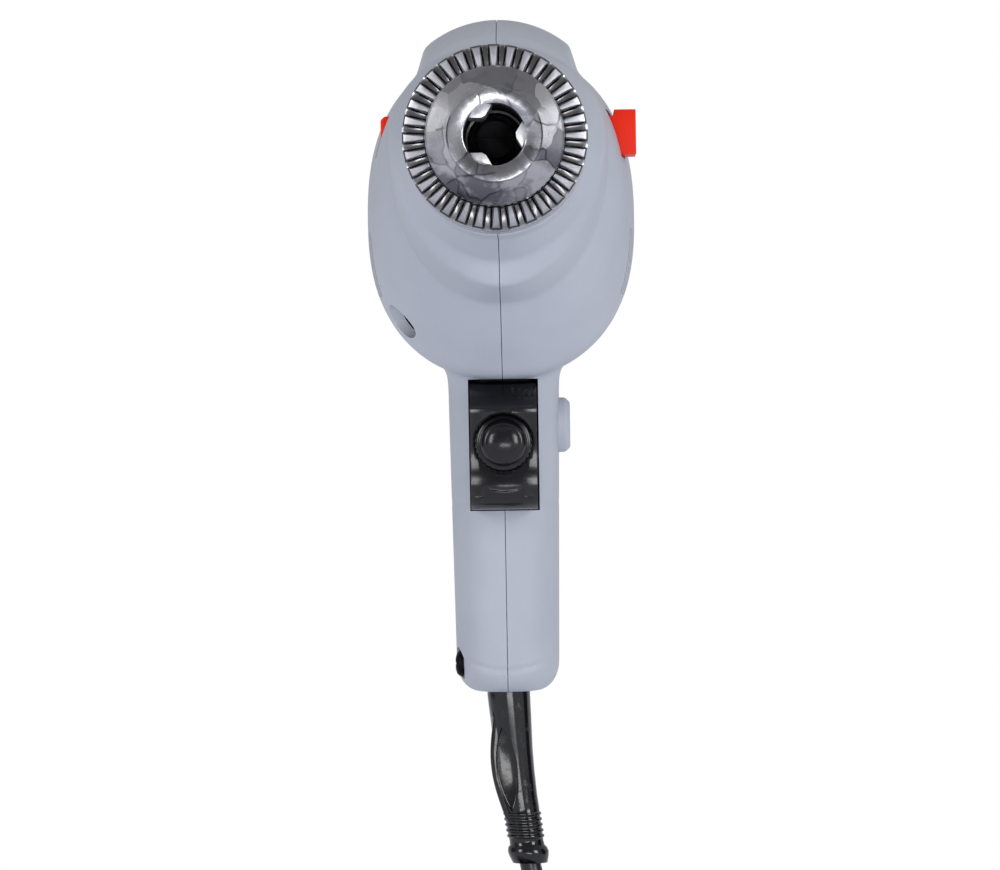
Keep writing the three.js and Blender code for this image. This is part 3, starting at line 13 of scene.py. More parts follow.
import bmesh
import bpy
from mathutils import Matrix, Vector


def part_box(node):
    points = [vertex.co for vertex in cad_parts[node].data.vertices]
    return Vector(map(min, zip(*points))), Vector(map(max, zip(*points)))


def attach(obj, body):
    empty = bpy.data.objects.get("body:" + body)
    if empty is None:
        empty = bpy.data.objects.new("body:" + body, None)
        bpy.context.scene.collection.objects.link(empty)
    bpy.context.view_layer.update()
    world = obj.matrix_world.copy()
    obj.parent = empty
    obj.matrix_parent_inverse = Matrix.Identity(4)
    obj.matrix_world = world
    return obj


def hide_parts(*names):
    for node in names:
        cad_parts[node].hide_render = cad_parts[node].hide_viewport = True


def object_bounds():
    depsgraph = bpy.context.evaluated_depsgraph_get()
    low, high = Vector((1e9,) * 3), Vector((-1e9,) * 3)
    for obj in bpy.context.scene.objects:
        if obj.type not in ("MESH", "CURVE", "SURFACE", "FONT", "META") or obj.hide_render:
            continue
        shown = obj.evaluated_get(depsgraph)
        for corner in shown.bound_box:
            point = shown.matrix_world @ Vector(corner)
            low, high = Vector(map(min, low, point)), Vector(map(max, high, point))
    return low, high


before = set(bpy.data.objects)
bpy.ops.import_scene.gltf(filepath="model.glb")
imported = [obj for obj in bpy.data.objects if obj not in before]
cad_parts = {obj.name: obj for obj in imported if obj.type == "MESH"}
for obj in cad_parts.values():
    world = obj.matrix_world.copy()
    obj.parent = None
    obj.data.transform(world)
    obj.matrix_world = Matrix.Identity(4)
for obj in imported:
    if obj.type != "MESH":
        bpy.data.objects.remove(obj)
cad_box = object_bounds()

MM = 0.001
chuck_low, chuck_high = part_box("chuck_body")
FACE_Y = chuck_low.y
AXIS_Z = (chuck_low.z + chuck_high.z) / 2
print("nodes in the frame:", len(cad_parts), "chuck face at y", round(FACE_Y, 4))

# %% [markdown]
# A drill is measured from its spindle. So each place below is given in millimetres from the
# middle of the chuck's front face, and one small helper moves it into the frame.

# %% Places
def at(x, y, z):
    """A place in millimetres from the chuck's face, as a point in the frame."""
    return Vector((x * MM, FACE_Y + y * MM, AXIS_Z + z * MM))


def leave_edit_mode():
    if bpy.context.object and bpy.context.object.mode != "OBJECT":
        bpy.ops.object.mode_set(mode="OBJECT")


def pick(*objects):
    """Selects only these objects, and makes the first one active."""
    leave_edit_mode()
    bpy.ops.object.select_all(action="DESELECT")
    for one in objects:
        one.select_set(True)
    bpy.context.view_layer.objects.active = objects[0]
    return objects[0]


# %% [markdown]
# ## Camera and studio
#
# A long lens a little over a metre away keeps the proportions calm. The drill is seen
# straight from the front, with the camera at the height of the trigger, so the chuck covers
# the nose of the body and the cord leaves at the bottom.

# %% Camera
CAMERA_BACK = 1050.0
CAMERA_LOW = -69.5
CAMERA_ASIDE = 10.5
CAMERA_PAN = 0.556
CAMERA_ROLL = -0.83

lens = bpy.data.cameras.new("front_camera")
lens.lens = 163.7
lens.sensor_width = 36.0
lens.clip_start = 0.05
lens.clip_end = 30.0
camera = bpy.data.objects.new("front_camera", lens)
bpy.context.scene.collection.objects.link(camera)
camera.location = at(CAMERA_ASIDE, -CAMERA_BACK, CAMERA_LOW)
camera.rotation_mode = "XYZ"
camera.rotation_euler = (math.radians(90), 0.0, math.radians(CAMERA_PAN))
camera.rotation_euler.rotate_axis("Z", math.radians(CAMERA_ROLL))
bpy.context.scene.camera = camera

# %% [markdown]
# The light is a plain light tent: a pale floor, pale air all round, and large soft boxes.
# The two strong ones stand in front, to the left and to the right, and a weaker one low
# down lifts the faces that look at the floor. Bright steel and glossy plastic show whatever
# stands round them, so two dark cards, out of the camera's sight, draw the dark lines in
# the chrome.

# %% Floor, tent and lights
def plain_material(name, colour, roughness, glow=0.0):
    made = bpy.data.materials.new(name)
    made.use_nodes = True
    surface = made.node_tree.nodes["Principled BSDF"]
    surface.inputs["Base Color"].default_value = (*colour, 1.0)
    surface.inputs["Roughness"].default_value = roughness
    surface.inputs["Emission Color"].default_value = (1.0, 1.0, 1.0, 1.0)
    surface.inputs["Emission Strength"].default_value = glow
    return made


def staged_plane(name, place, target, width, height, material):
    """A flat backdrop or card of the studio, which isn't part of the drill."""
    leave_edit_mode()
    bpy.ops.mesh.primitive_plane_add(size=1, location=place)
    card = bpy.context.object
    card.name = name
    card.scale = (width, height, 1.0)
    towards = Vector(target) - Vector(place)
    card.rotation_euler = towards.to_track_quat("Z", "Y").to_euler()
    bpy.ops.object.transform_apply(location=True, rotation=True, scale=True)
    card.data.materials.append(material)
    return card


bpy.context.scene.view_settings.view_transform = "Standard"
MIDDLE = (0, 0, 0.06)
FLOOR_GAP = 0.002
FLOOR_SIZE = 40.0
floor_z = cad_box[0].z - FLOOR_GAP


def choose_by_sight(tree, seen, unseen):
    """White for the camera, something dimmer for the light that falls on the drill."""
    sight = tree.nodes.new("ShaderNodeLightPath")
    choose = tree.nodes.new("ShaderNodeMix")
    choose.data_type = "RGBA"
    sockets = {one.identifier: one for one in choose.inputs}
    tree.links.new(sight.outputs["Is Camera Ray"], sockets["Factor_Float"])
    sockets["B_Color"].default_value = seen
    if isinstance(unseen, bpy.types.NodeSocket):
        tree.links.new(unseen, sockets["A_Color"])
    else:
        sockets["A_Color"].default_value = unseen
    return next(one for one in choose.outputs if one.identifier == "Result_Color")


WHITE = (1.0, 1.0, 1.0, 1.0)
FLOOR_LIGHT = (0.80, 0.82, 0.88, 1.0)
paper = plain_material("paper", (0.0, 0.0, 0.0), 1.0, glow=1.0)
paper_surface = paper.node_tree.nodes["Principled BSDF"]
paper_surface.inputs["Specular IOR Level"].default_value = 0.0
paper_glow = choose_by_sight(paper.node_tree, WHITE, FLOOR_LIGHT)
paper.node_tree.links.new(paper_glow, paper_surface.inputs["Emission Color"])
staged_plane("floor", (0, 0, floor_z), (0, 0, 1), FLOOR_SIZE, FLOOR_SIZE, paper)

# The tent's brightness changes with the angle from straight in front: darkest a little
# way round from the camera, paler at the sides and behind.
world = bpy.data.worlds.new("tent")
bpy.context.scene.world = world
world.use_nodes = True
air = world.node_tree
background = air.nodes["Background"]
direction = air.nodes.new("ShaderNodeTexCoord")
split = air.nodes.new("ShaderNodeSeparateXYZ")
air.links.new(direction.outputs["Generated"], split.inputs["Vector"])
ramp = air.nodes.new("ShaderNodeMapRange")
ramp.inputs["From Min"].default_value = -1.0
ramp.inputs["From Max"].default_value = 1.0
air.links.new(split.outputs["Y"], ramp.inputs["Value"])
tent = air.nodes.new("ShaderNodeValToRGB")
air.links.new(ramp.outputs["Result"], tent.inputs["Fac"])
# place on the ramp (0 is straight in front, 1 straight behind) and brightness there
tent_steps = [(0.0, 0.36), (0.08, 0.26), (0.2, 0.32), (0.35, 0.46), (0.6, 0.56), (1.0, 0.56)]
while len(tent.color_ramp.elements) < len(tent_steps):
    tent.color_ramp.elements.new(0.5)
for mark, (place, value) in zip(tent.color_ramp.elements, tent_steps):
    mark.position = place
    mark.color = (value, value, value, 1.0)
air.links.new(choose_by_sight(air, WHITE, tent.outputs["Color"]), background.inputs["Color"])


def soft_box(name, place, target, width, height, power):
    light = bpy.data.lights.new(name, "AREA")
    light.shape = "RECTANGLE"
    light.size = width
    light.size_y = height
    light.energy = power
    lamp = bpy.data.objects.new(name, light)
    bpy.context.scene.collection.objects.link(lamp)
    lamp.location = place
    towards = Vector(target) - Vector(place)
    lamp.rotation_euler = towards.to_track_quat("-Z", "Y").to_euler()
    return lamp


soft_box("box_left", (-1.05, -1.0, 0.42), MIDDLE, 0.45, 0.7, 8)
soft_box("box_right", (1.05, -1.0, 0.36), MIDDLE, 0.5, 0.7, 10)
soft_box("box_low_front", (0.15, -1.5, -0.2), MIDDLE, 0.8, 0.25, 5)
black_card = plain_material("black_card", (0.02, 0.02, 0.02), 0.8)
cards = [
    ("card_left", (-1.6, 0.2, 0.1), 0.9, 1.6),
    ("card_right", (1.7, 0.3, 0.1), 0.9, 1.6),
]
for name, place, width, height in cards:
    card = staged_plane(name, place, MIDDLE, width, height, black_card)
    card.visible_camera = False

# %% [markdown]
# ## The cord
#
# The mains lead is 5.6 mm thick and about two metres long. It leaves the boot, runs down
# behind a neat coil and is wound into it. A coil could be one fat ring, but a real one shows
# its turns, so the cord is a single curve: every turn lies in its own groove of a bundle that
# is three layers deep, and it steps over to the next groove while it passes the top. The last
# turn leaves straight down into the plug.

# %% The cord's route
CORD_R = 2.8
CORD_GAP = 0.3
GRIP_FOOT_Y = 171.0
BUNDLE_HALF = 4 * CORD_R
COIL = Vector((-6.0, GRIP_FOOT_Y - CORD_R - CORD_GAP - BUNDLE_HALF, -236.0))
COIL_R = 33.0
TAIL_END_Z = -276.5
cord_start = [
    (5.0, -184.1), (6.0, -188.0), (8.6, -193.0), (12.2, -198.0),
    (15.5, -203.0), (18.1, -209.0), (19.6, -216.0), (19.9, -223.0),
]
# Each groove of the bundle, as millimetres outwards and along the coil's axis.
LAYER = 4.9
groove_order = [(-1, 2), (-1, 0), (-1, -2), (0, -3), (0, -1), (0, 1), (0, 3), (1, 2), (1, 0), (1, -2)]
grooves = [(out * LAYER, along * CORD_R) for out, along in groove_order]
STEP_OVER = 0.32  # the share of a turn in which the cord moves to its next groove


def eased(share):
    share = min(1.0, max(0.0, share))
    return share * share * (3 - 2 * share)


def groove_at(turns):
    """Where the cord lies in the bundle after this many turns, counted from the top."""
    number = int(math.floor(turns + 0.5))
    step = eased((turns - number) / STEP_OVER + 0.5)
    before = grooves[min(max(number - 1, 0), len(grooves) - 1)]
    after = grooves[min(max(number, 0), len(grooves) - 1)]
    return tuple(a + step * (b - a) for a, b in zip(before, after))


def catmull(points, per_span):
    """A smooth run of points through the given ones."""
    ends = [2 * points[0] - points[1]] + points + [2 * points[-1] - points[-2]]
    run = []
    for a, b, c, d in zip(ends, ends[1:], ends[2:], ends[3:]):
        for i in range(per_span):
            t = i / per_span
            run.append(0.5 * (2 * b + (c - a) * t + (2 * a - 5 * b + 4 * c - d) * t * t
                              + (3 * b - a - 3 * c + d) * t ** 3))
    return run + [points[-1]]


enter_x, enter_z = cord_start[-1]
FIRST_ANGLE = math.atan2(enter_x - COIL.x, enter_z - COIL.z) / (2 * math.pi)
LAST_ANGLE = 9.25
POINTS_PER_TURN = 44
SETTLE = 0.3  # the share of a turn in which the cord reaches its first groove
route = catmull([Vector((x, GRIP_FOOT_Y, z)) for x, z in cord_start], 5)
first_r = math.hypot(enter_x - COIL.x, enter_z - COIL.z)
count = int((LAST_ANGLE - FIRST_ANGLE) * POINTS_PER_TURN)
for i in range(1, count + 1):
    turn = FIRST_ANGLE + (LAST_ANGLE - FIRST_ANGLE) * i / count
    out, along = groove_at(turn)
    settle = eased((turn - FIRST_ANGLE) / SETTLE)
    radius = first_r + settle * (COIL_R + out - first_r)
    y = GRIP_FOOT_Y + settle * (COIL.y + along - GRIP_FOOT_Y)
    route.append(Vector((
        COIL.x + radius * math.sin(turn * 2 * math.pi), y,
        COIL.z + radius * math.cos(turn * 2 * math.pi))))
for z in (-244.0, -252.0, -260.0, -268.0, TAIL_END_Z):
    route.append(Vector((route[-1].x, route[-1].y, z)))

# %% The cord itself
line = bpy.data.curves.new("mains_cord", "CURVE")
line.dimensions = "3D"
line.bevel_depth = 1.0
line.bevel_resolution = 4
line.use_fill_caps = True
spline = line.splines.new("POLY")
spline.points.add(len(route) - 1)
for knot, place in zip(spline.points, route):
    knot.co = (*at(*place), 1.0)
    knot.radius = CORD_R * MM
spline.use_smooth = True
mains_cord = bpy.data.objects.new("mains_cord", line)
bpy.context.scene.collection.objects.link(mains_cord)

# %% [markdown]
# ## Tools for turned, cast and cut pieces
#
# Most of the drill is round, and round pieces can be made as on a lathe: one ring of corners
# at the start of the profile, then extrude along the spindle and scale to the next radius,
# again and again. It gives clean rows of four-sided faces, which take a bevel well.

# %% Lathe
TINY = 0.02
AXES = {
    "X": ((0, math.pi / 2, 0), lambda along, mid: at(along, *mid)),
    "Y": ((math.pi / 2, 0, 0), lambda along, mid: at(mid[0], along, mid[1])),
    "Z": ((0, 0, 0), lambda along, mid: at(*mid, along)),
}


def close_up(piece):
    """Puts a face on every open loop of the piece and turns all faces outwards."""
    mesh = bmesh.new()
    mesh.from_mesh(piece.data)
    bmesh.ops.remove_doubles(mesh, verts=mesh.verts, dist=0.0005 * MM)
    bmesh.ops.holes_fill(mesh, edges=[e for e in mesh.edges if e.is_boundary], sides=0)
    bmesh.ops.recalc_face_normals(mesh, faces=mesh.faces)
    mesh.to_mesh(piece.data)
    mesh.free()


def turned(name, profile, sides=96, axis="Y", mid=(0.0, 0.0)):
    """Turns a profile of (radius, place) points, in millimetres, round a line along an axis.
    A profile that ends on the axis is closed there, any other is closed on itself."""
    points = [(max(radius, TINY), along) for radius, along in profile]
    leave_edit_mode()
    bpy.ops.object.select_all(action="DESELECT")
    tilt, spot = AXES[axis]
    bpy.ops.mesh.primitive_circle_add(
        vertices=sides, radius=points[0][0] * MM, location=spot(points[0][1], mid), rotation=tilt)
    piece = bpy.context.object
    piece.name = piece.data.name = name
    bpy.ops.object.transform_apply(location=True, rotation=True, scale=True)
    bpy.ops.object.mode_set(mode="EDIT")
    bpy.ops.mesh.select_mode(type="VERT")
    bpy.ops.mesh.select_all(action="SELECT")
    for (r0, a0), (r1, a1) in zip(points, points[1:]):
        step = [(a1 - a0) * MM if letter == axis else 0.0 for letter in "XYZ"]
        grow = [1.0 if letter == axis else r1 / r0 for letter in "XYZ"]
        bpy.ops.mesh.extrude_region_move(TRANSFORM_OT_translate={"value": step})
        bpy.ops.transform.resize(value=grow, center_override=spot(a1, mid))
    on_axis = points[0][0] == TINY or points[-1][0] == TINY
    if not on_axis:
        bpy.ops.mesh.select_mode(type="EDGE")
        bpy.ops.mesh.select_all(action="DESELECT")
        bpy.ops.mesh.select_non_manifold()
        bpy.ops.mesh.bridge_edge_loops()
    bpy.ops.object.mode_set(mode="OBJECT")
    close_up(piece)
    return piece


# %% [markdown]
# Flat pieces start from a circle as well: it has as many corners as the outline, each corner
# is put in its place, and the face is extruded to its thickness. A bevel then breaks the
# edges, because no moulded edge is perfectly sharp.

# %% Plates, bevels and cuts
def plate(name, outline, axis, low, high, steps=1):
    """An outline extruded from low to high along an axis. Points are (y, z) for axis X,
    (x, z) for axis Y and (x, y) for axis Z, in millimetres. Steps add rings on the way."""
    leave_edit_mode()
    bpy.ops.object.select_all(action="DESELECT")
    bpy.ops.mesh.primitive_circle_add(vertices=len(outline), radius=MM, fill_type="NGON")
    piece = bpy.context.object
    piece.name = piece.data.name = name
    spots = {"X": lambda a, b: at(low, a, b), "Y": lambda a, b: at(a, low, b),
             "Z": lambda a, b: at(a, b, low)}
    for corner, (a, b) in zip(piece.data.vertices, outline):
        corner.co = spots[axis](a, b)
    reach = {"X": (high - low, 0, 0), "Y": (0, high - low, 0), "Z": (0, 0, high - low)}[axis]
    bpy.ops.object.mode_set(mode="EDIT")
    bpy.ops.mesh.select_mode(type="VERT")
    bpy.ops.mesh.select_all(action="SELECT")
    for _ in range(steps):
        bpy.ops.mesh.extrude_region_move(
            TRANSFORM_OT_translate={"value": tuple(value / steps * MM for value in reach)})
    bpy.ops.mesh.select_all(action="SELECT")
    bpy.ops.mesh.normals_make_consistent(inside=False)
    bpy.ops.object.mode_set(mode="OBJECT")
    return piece


def block(name, x0, x1, y0, y1, z0, z1):
    return plate(name, [(x0, z0), (x1, z0), (x1, z1), (x0, z1)], "Y", y0, y1)


def slot(name, axis, low, high, a, b, half_a, half_b):
    """A bar with fully rounded ends, for vents and recesses; (a, b) is its middle."""
    short = min(half_a, half_b)
    outline = []
    for i in range(24):
        turn = (i + 0.5) / 24 * 2 * math.pi
        outline.append((a + math.copysign(half_a - short, math.cos(turn)) + short * math.cos(turn),
                        b + math.copysign(half_b - short, math.sin(turn)) + short * math.sin(turn)))
    return plate(name, outline, axis, low, high)


def rod(name, axis, radius, low, high, a, b, sides=48):
    """A round bar, for holes and notches; (a, b) is its middle."""
    turns = [i / sides * 2 * math.pi for i in range(sides)]
    outline = [(a + radius * math.cos(turn), b + radius * math.sin(turn)) for turn in turns]
    return plate(name, outline, axis, low, high)


def apply_modifier(piece, kind, **settings):
    pick(piece)
    modifier = piece.modifiers.new(kind.lower(), kind)
    for key, value in settings.items():
        setattr(modifier, key, value)
    bpy.ops.object.modifier_apply(modifier=modifier.name)


def bevelled(piece, width, segments=2, angle=30):
    """Breaks the edges that are sharper than the angle."""
    apply_modifier(piece, "BEVEL", width=width * MM, segments=segments, limit_method="ANGLE",
                   angle_limit=math.radians(angle), harden_normals=False)
    return piece


def cut(piece, *cutters, operation="DIFFERENCE"):
    """Takes the cutters out of the piece, or joins them to it, and removes them."""
    for cutter in cutters:
        apply_modifier(piece, "BOOLEAN", operation=operation, object=cutter, solver="MANIFOLD")
        bpy.data.objects.remove(cutter)
    return piece


def smooth(piece, angle=35):
    pick(piece)
    bpy.ops.object.shade_smooth_by_angle(angle=math.radians(angle))
    return piece


def turned_to(piece, degrees):
    """Turns a piece about the spindle and keeps its place in its mesh."""
    pick(piece)
    bpy.ops.object.mode_set(mode="EDIT")
    bpy.ops.mesh.select_all(action="SELECT")
    bpy.ops.transform.rotate(
        value=math.radians(degrees), orient_axis="Y", center_override=at(0, 0, 0))
    bpy.ops.object.mode_set(mode="OBJECT")
    return piece


def copy_of(piece, name):
    twin = piece.copy()
    twin.data = piece.data.copy()
    twin.name = twin.data.name = name
    bpy.context.scene.collection.objects.link(twin)
    return twin


def joined(name, *pieces):
    pick(*pieces)
    bpy.ops.object.join()
    whole = bpy.context.object
    whole.name = whole.data.name = name
    return whole


# %% [markdown]
# ## The shell's outer form
#
# The body of the shell is a row of outlines along the spindle. It starts as the round
# 43 mm collar, flares out behind the chuck, drops in two steps to the belly under the
# gears, and swells round the motor. Each outline is a rounded oval with its own width, top
# and bottom. A tube of rings is extruded first, and every ring is then pulled on to its
# outline.

# %% Outlines along the spindle
# y, half width, height of the widest line, top, bottom, squareness above and below
body_outlines = [
    (46.0, 20.6, 0, 20.6, -20.6, 2, 2),
    (46.9, 21.5, 0, 21.5, -21.5, 2, 2),
    (62.0, 21.5, 0, 21.5, -21.5, 2, 2),
    (75.0, 26.9, 4, 26.7, -26.6, 2, 1.85),
    (78.6, 27.0, 4, 27.6, -32.6, 2, 1.85),
    (95.0, 27.6, 4, 29.5, -36.3, 2, 2.2),
    (103.0, 30.3, -3, 30.0, -43.6, 2.1, 2.25),
    (111.0, 32.0, -9, 30.0, -50.0, 2.2, 2.3),
    (118.0, 33.0, -13, 30.0, -54.6, 2.3, 2.3),
    (135.0, 34.6, -13, 30.0, -54.4, 2.4, 2.4),
    (150.0, 35.0, -13, 30.0, -53.0, 2.4, 2.4),
    (176.0, 34.6, -13, 29.0, -51.2, 2.4, 2.4),
    (200.0, 32.6, -13, 26.5, -48.2, 2.4, 2.4),
    (214.0, 29.4, -13, 23.0, -44.2, 2.3, 2.3),
    (221.0, 25.0, -13, 18.6, -39.4, 2.2, 2.2),
    (225.0, 19.0, -13, 12.0, -33.0, 2.1, 2.1),
    (226.0, 15.0, -13, 8.0, -29.0, 2, 2),
]
FIRST_SOFT = 5  # from this outline on, the form runs smoothly through the outlines


def outline_at(y):
    """The outline at a place: straight between the first outlines, smooth behind them."""
    last = len(body_outlines) - 1
    i = max(k for k in range(last) if body_outlines[k][0] <= y + 1e-6)
    here, there = body_outlines[i], body_outlines[i + 1]
    t = min(1.0, (y - here[0]) / (there[0] - here[0]))
    if i < FIRST_SOFT:
        return [a + t * (b - a) for a, b in zip(here, there)][1:]
    before = body_outlines[i - 1] if i > FIRST_SOFT else here
    after = body_outlines[min(i + 2, last)]
    span = there[0] - here[0]
    result = []
    for k in range(1, 7):
        slope_here = (there[k] - before[k]) / (there[0] - before[0])
        slope_there = (after[k] - here[k]) / (after[0] - here[0])
        result.append((2 * t ** 3 - 3 * t ** 2 + 1) * here[k] + (3 * t ** 2 - 2 * t ** 3) * there[k]
                      + span * ((t ** 3 - 2 * t ** 2 + t) * slope_here + (t ** 3 - t ** 2) * slope_there))
    return result


def on_outline(angle, half_width, middle, top, bottom, square_top, square_bottom):
    """A point (across, up) on a rounded oval, for an angle counted from the side."""
    across, up = math.cos(angle), math.sin(angle)
    square = square_top if up > 0 else square_bottom
    height = top - middle if up > 0 else middle - bottom
    return (math.copysign(abs(across) ** (2 / square), across) * half_width,
            middle + math.copysign(abs(up) ** (2 / square), up) * height)


# %% Body
BODY_SIDES = 128


def lofted(name, places, outline_of, upright=False):
    """A tube of rings, one at each place, pulled on to their outlines. It runs along the
    spindle, or down the grip if it is upright."""
    leave_edit_mode()
    bpy.ops.object.select_all(action="DESELECT")
    turn = (0, 0, 0) if upright else (math.pi / 2, 0, 0)
    bpy.ops.mesh.primitive_circle_add(vertices=BODY_SIDES, radius=MM, rotation=turn)
    piece = bpy.context.object
    piece.name = piece.data.name = name
    bpy.ops.object.transform_apply(location=True, rotation=True, scale=True)
    bpy.ops.object.mode_set(mode="EDIT")
    bpy.ops.mesh.select_all(action="SELECT")
    step = (0, 0, -1.0) if upright else (0, 1.0, 0)
    for _ in places[1:]:
        bpy.ops.mesh.extrude_region_move(TRANSFORM_OT_translate={"value": step})
    bpy.ops.object.mode_set(mode="OBJECT")
    for corner in piece.data.vertices:
        if upright:
            place = places[round(-corner.co.z)]
            x, y = on_outline(math.atan2(corner.co.y, corner.co.x), *outline_of(place))
            corner.co = at(x, y, place)
        else:
            place = places[round(corner.co.y)]
            x, z = on_outline(math.atan2(corner.co.z, corner.co.x), *outline_of(place))
            corner.co = at(x, place, z)
    close_up(piece)
    return piece


ring_places = [46.0, 46.9, 54.0, 62.0, 66.0, 70.5, 75.0, 78.6, 84.0, 89.5]
ring_places += [95.0 + 2.0 * i for i in range(63)] + [222.5, 224.0, 225.0, 226.0]
body_form = lofted("body_form", ring_places, outline_at)
print("body form rings:", len(ring_places))

# %% [markdown]
# A raised ridge runs along the top of the body. Seen from the front it is an arch with two
# slanted sides, and seen from the side it rises behind the collar and falls off before the
# back. The arch is extruded in many short steps, and each step is then lowered as far as
# the side view asks.

# %% Top ridge
RIDGE_TOP = 35.5
RIDGE_ARC_R = 28.0
RIDGE_CORNER = 18.3
arch = []
half_angle = math.asin(RIDGE_CORNER / RIDGE_ARC_R)
for i in range(25):
    angle = half_angle - i / 24 * 2 * half_angle
    arch.append((RIDGE_ARC_R * math.sin(angle), RIDGE_TOP - RIDGE_ARC_R + RIDGE_ARC_R * math.cos(angle)))
ridge = plate("ridge", [(20.6, -10), (20.4, 21.8), *arch, (-20.4, 21.8), (-20.6, -10)], "Y", 76, 220, 72)
ridge_side = [
    (76.0, 26.4), (79.5, 29.6), (84.5, 32.2), (90.0, 34.0), (97.5, 35.2), (104.0, 36.5), (158.0, 36.5),
    (176.0, 35.0), (192.0, 32.0), (206.0, 27.5), (214.0, 23.0), (218.5, 18.0), (220.5, 12.0),
]
for corner in ridge.data.vertices:
    y = (corner.co.y - FACE_Y) / MM
    before, after = next((a, b) for a, b in zip(ridge_side, ridge_side[1:]) if y <= b[0] + 1e-3)
    height = before[1] + (after[1] - before[1]) * (y - before[0]) / (after[0] - before[0])
    if corner.co.z > AXIS_Z:
        corner.co.z -= max(0.0, RIDGE_TOP - height) * MM

# %% [markdown]
# The grip is lofted the same way, but downwards. It leans back at the top, and its foot is
# rounded off. The radius where it meets the belly comes later, from smoothing.

# %% Grip
# height, front, back and half width at each end of the grip
GRIP_TOP = (-42.0, 124.0, 175.0, 14.8)
GRIP_FOOT = (-137.7, 150.7, 190.8, 13.6)
FOOT_ROUND, FOOT_INSET = 7.6, 5.6


def grip_outline(z):
    """Front, back and half width of the grip at a height, as an outline."""
    t = (GRIP_TOP[0] - z) / (GRIP_TOP[0] - GRIP_FOOT[0])
    front, back, half = (a + t * (b - a) for a, b in zip(GRIP_TOP[1:], GRIP_FOOT[1:]))
    palm = 1.3 * math.exp(-((z + 78) / 16) ** 2)
    above_foot = z - GRIP_FOOT[0]
    inset = FOOT_INSET * (1 - math.sqrt(max(0.0, 1 - (1 - min(1.0, above_foot / FOOT_ROUND)) ** 2)))
    middle = (front + back) / 2
    return half - inset, middle, back - inset + palm, front + inset, 2.5, 2.9


levels = [-32.0] + [GRIP_TOP[0] - 3.0 * i for i in range(30)]
levels += [-130.4, -131.6, -132.8, -133.9, -134.9, -135.8, -136.6, -137.2, -137.55, -137.7]
grip_form = lofted("grip_form", levels, grip_outline, upright=True)

# %% [markdown]
# The three forms overlap, so they are joined and remeshed into one skin with small even
# faces. Smoothing then rounds what the remesh left stepped, and it works much longer in a
# band round the joint, where the body flows into the grip with a generous radius.

# %% One skin
form = joined("shell_form", body_form, ridge, grip_form)
apply_modifier(form, "REMESH", mode="VOXEL", voxel_size=0.85 * MM)
blend_zone = form.vertex_groups.new(name="blend_zone")
ZONE_LOW, ZONE_HIGH, ZONE_FRONT = -66.0, -30.0, 126.0
ZONE_FADE = 8.0
for corner in form.data.vertices:
    z = (corner.co.z - AXIS_Z) / MM
    y = (corner.co.y - FACE_Y) / MM
    if ZONE_LOW < z < ZONE_HIGH and y > ZONE_FRONT:
        weight = eased(min(z - ZONE_LOW, ZONE_HIGH - z) / ZONE_FADE)
        weight *= eased((y - ZONE_FRONT) / ZONE_FADE)
        blend_zone.add([corner.index], weight, "REPLACE")
apply_modifier(form, "SMOOTH", factor=0.5, iterations=3)
apply_modifier(form, "SMOOTH", factor=0.8, iterations=55, vertex_group="blend_zone")
print("shell skin faces:", len(form.data.polygons))

# %% [markdown]
# Two soft creases finish the grip: a smile across the front of its foot, and a short step
# beside the lower end of the trigger. They are pressed into the skin, each with a depth
# that fades away from its line.

# %% Creases
FOOT_CREASE_Z = -131.6
SIDE_CREASE_Z = -87.2
for corner in form.data.vertices:
    x = corner.co.x / MM
    y = (corner.co.y - FACE_Y) / MM
    z = (corner.co.z - AXIS_Z) / MM
    if y < 172 and -140 < z < -80:
        smile_line = FOOT_CREASE_Z + 2.2 * (x / 9.5) ** 2
        depth = 0.5 * math.exp(-((z - smile_line) / 0.7) ** 2) * eased((12.0 - abs(x)) / 2.5)
        depth += 0.3 * math.exp(-((z - SIDE_CREASE_Z) / 0.6) ** 2) * eased(abs(x) - 8.0)
        corner.co += depth * MM * Vector((-x / 13.6 * 0.3, 1.0, 0.0))

# %% [markdown]
# ## Cuts in the shell
#
# Now the openings: the hollow for the works, the bore for the spindle, the slot for the
# trigger, the window for the selector, the hole for the lock button, the counterbores for
# six screws and the vents. All of them go through the whole form at once, and only then
# is it split into a left and a right half, so both halves fit.

# %% The hollow
WALL = 2.4


def inner_outline(y):
    half, middle, top, bottom, square_top, square_bottom = outline_at(y)
    return half - WALL, middle, top - WALL, bottom + WALL, square_top, square_bottom


def inner_grip(z):
    half, middle, back, front, square_top, square_bottom = grip_outline(max(z, -130.0))
    return half - WALL, middle, back - WALL, front + WALL, square_top, square_bottom


hollow_places = [101.0, 106.0, 114.0, 122.0, 135.0, 150.0, 176.0, 200.0, 212.0, 219.0]
hollow = lofted("hollow", hollow_places, inner_outline)
hollow_levels = [-36.0, -50.0, -70.0, -90.0, -110.0, -132.0]
grip_hollow = lofted("grip_hollow", hollow_levels, inner_grip, upright=True)
spindle_bore = turned("spindle_bore", [
    (0, 44), (9.2, 44), (9.2, 48.6), (18.9, 48.6), (18.9, 62), (14.4, 66), (14.4, 100),
    (18.6, 100), (18.6, 108), (0, 108)])
cut(form, hollow, grip_hollow, spindle_bore)

